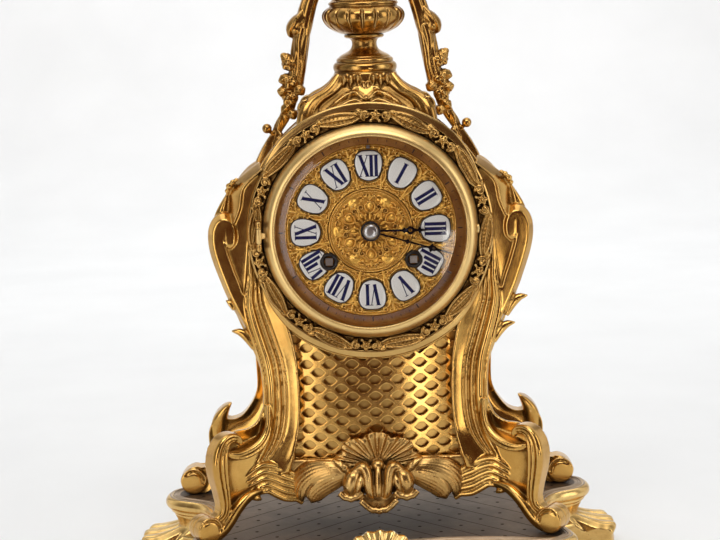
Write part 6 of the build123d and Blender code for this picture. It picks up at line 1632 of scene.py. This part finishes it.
# ------------------------------------------------------------------ finishes of the remaining machined pieces
CAD_FINISH = {
    GILT: ["case_back", "case_drum", "hinge_pins"],
    BRASS: ["movement_front_plate", "movement_back_plate", "movement_pillars", "going_barrel", "strike_barrel", "centre_wheel", "intermediate_wheel", "minute_wheel", "hour_wheel", "third_wheel", "escape_wheel",
            "strike_second_wheel", "strike_pin_wheel", "suspension_bracket", "pendulum", "rear_door"],
    STEEL: ["base_nuts", "urn_tie_rod", "going_click", "strike_click", "cannon_pinion", "pallet_anchor", "hammer", "regulator_arbor"],
    BELLM: ["bell"],
    ARBOR: ["going_winding_arbor", "strike_winding_arbor"],
}
for mat, names in CAD_FINISH.items():
    for nme in names:
        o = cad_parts[nme]
        if not o.material_slots:
            o.data.materials.append(mat)
        for sl_ in o.material_slots:
            sl_.material = mat

# ------------------------------------------------------------------ floor, light, camera
sc = bpy.context.scene
sc.view_settings.view_transform = "Standard"
sc.view_settings.look = "None"


def floor_mat():
    m = NT("pale_floor")
    n = m.noise(6, 3, 0.5)
    col = m.mix(m.ramp(n, [(0.3, 0.0), (0.7, 1.0)]), (0.80, 0.818, 0.832), (0.84, 0.858, 0.872))
    m.link(col, m.p.inputs["Base Color"])
    m.p.inputs["Roughness"].default_value = 0.65
    m.p.inputs["Specular IOR Level"].default_value = 0.2
    return m.mat


FLOOR = floor_mat()
fl = []
for y, z in cr([(-0.42, 0), (0.2, 0), (1.0, 0), (1.7, 0.02), (2.1, 0.22), (2.3, 0.62), (2.36, 1.2), (2.38, 2.6)], 8):
    fl.append([(x, y, z) for x in np.linspace(-2.6, 2.6, 13)])
me = bpy.data.meshes.new("floor")
G = np.array(fl)
nu, nv = G.shape[:2]
idx = np.arange(nu * nv).reshape(nu, nv)
F = np.stack([idx[:-1, :-1], idx[:-1, 1:], idx[1:, 1:], idx[1:, :-1]], -1).reshape(-1, 4)
me.from_pydata((G.reshape(-1, 3)).tolist(), [], F.tolist())
me.polygons.foreach_set("use_smooth", np.ones(len(me.polygons), bool))
me.materials.append(FLOOR)
floor = bpy.data.objects.new("floor", me)
sc.collection.objects.link(floor)

world = bpy.data.worlds.new("studio")
sc.world = world
world.use_nodes = True
wt = world.node_tree
bg = wt.nodes["Background"]
tc = wt.nodes.new("ShaderNodeTexCoord")
sp_ = wt.nodes.new("ShaderNodeSeparateXYZ")
wt.links.new(tc.outputs["Generated"], sp_.inputs[0])
ra = wt.nodes.new("ShaderNodeValToRGB")
mp_ = wt.nodes.new("ShaderNodeMapRange")
mp_.inputs[1].default_value, mp_.inputs[2].default_value = -1.0, 1.0
wt.links.new(sp_.outputs[1], mp_.inputs[0])
wt.links.new(mp_.outputs[0], ra.inputs[0])
el = ra.color_ramp.elements
el[0].position, el[0].color = 0.0, (0.092, 0.034, 0.018, 1)
el[1].position, el[1].color = 1.0, (1.0, 1.0, 1.0, 1)
for p, c in ((0.02, (0.092, 0.038, 0.021)), (0.08, (0.098, 0.062, 0.042)), (0.28, (0.150, 0.128, 0.108)), (0.5, (0.36, 0.35, 0.335)), (0.68, (0.85, 0.85, 0.85))):
    e = el.new(p)
    e.color = (*c, 1)
seen = wt.nodes.new("ShaderNodeLightPath")
mx_ = wt.nodes.new("ShaderNodeMix")
mx_.data_type = "RGBA"
pick = [s_ for s_ in mx_.inputs if s_.type == "RGBA"]
wt.links.new(seen.outputs["Is Camera Ray"], mx_.inputs[0])
wt.links.new(ra.outputs[0], pick[0])
pick[1].default_value = (0.80, 0.795, 0.79, 1)
wt.links.new([s_ for s_ in mx_.outputs if s_.type == "RGBA"][0], bg.inputs[0])
bg.inputs[1].default_value = 1.06


def lamp(name, loc, aim, size, power, colour=(1, 1, 1)):
    d = bpy.data.lights.new(name, "AREA")
    d.shape = "RECTANGLE"
    d.size, d.size_y = size
    d.energy, d.color = power, colour
    o = bpy.data.objects.new(name, d)
    sc.collection.objects.link(o)
    from mathutils import Vector
    o.location = loc
    o.rotation_euler = (Vector(aim) - Vector(loc)).to_track_quat("-Z", "Y").to_euler()
    return o


lamp("overhead", (0.0, 0.15, 1.9), (0, 0.05, 0), (1.8, 1.6), 10)
lamp("front_high", (0.0, -1.15, 1.75), (0, 0, 0.2), (1.5, 0.7), 15.6, (1.0, 0.98, 0.95))
lamp("left", (-0.88, -1.25, 0.24), (0, 0, 0.2), (0.62, 1.5), 7.2, (1.0, 0.975, 0.94))
lamp("right_strip", (0.50, -1.42, -0.30), (0, 0, 0.05), (0.24, 0.66), 2.5, (1.0, 0.97, 0.92))
lamp("right", (1.35, -0.65, 0.55), (0, 0, 0.2), (0.6, 1.3), 5.4, (1.0, 0.98, 0.95))
lamp("backdrop", (0.0, 1.2, 1.6), (0, 2.4, 0.5), (2.4, 0.8), 23.5)

cam_d = bpy.data.cameras.new("cam")
cam_d.lens, cam_d.sensor_width, cam_d.sensor_fit = 93.25, 36.0, "HORIZONTAL"
cam_d.clip_start, cam_d.clip_end = 0.05, 30
cam = bpy.data.objects.new("cam", cam_d)
sc.collection.objects.link(cam)
cam.location = (-0.0068, -1.104, 0.3496)
from mathutils import Euler, Matrix
pitch, roll = math.radians(90 - 8.2), math.radians(-1.8)
cam.rotation_euler = (Euler((pitch, 0, 0)).to_matrix() @ Matrix.Rotation(roll, 3, "Z")).to_euler()
sc.camera = cam
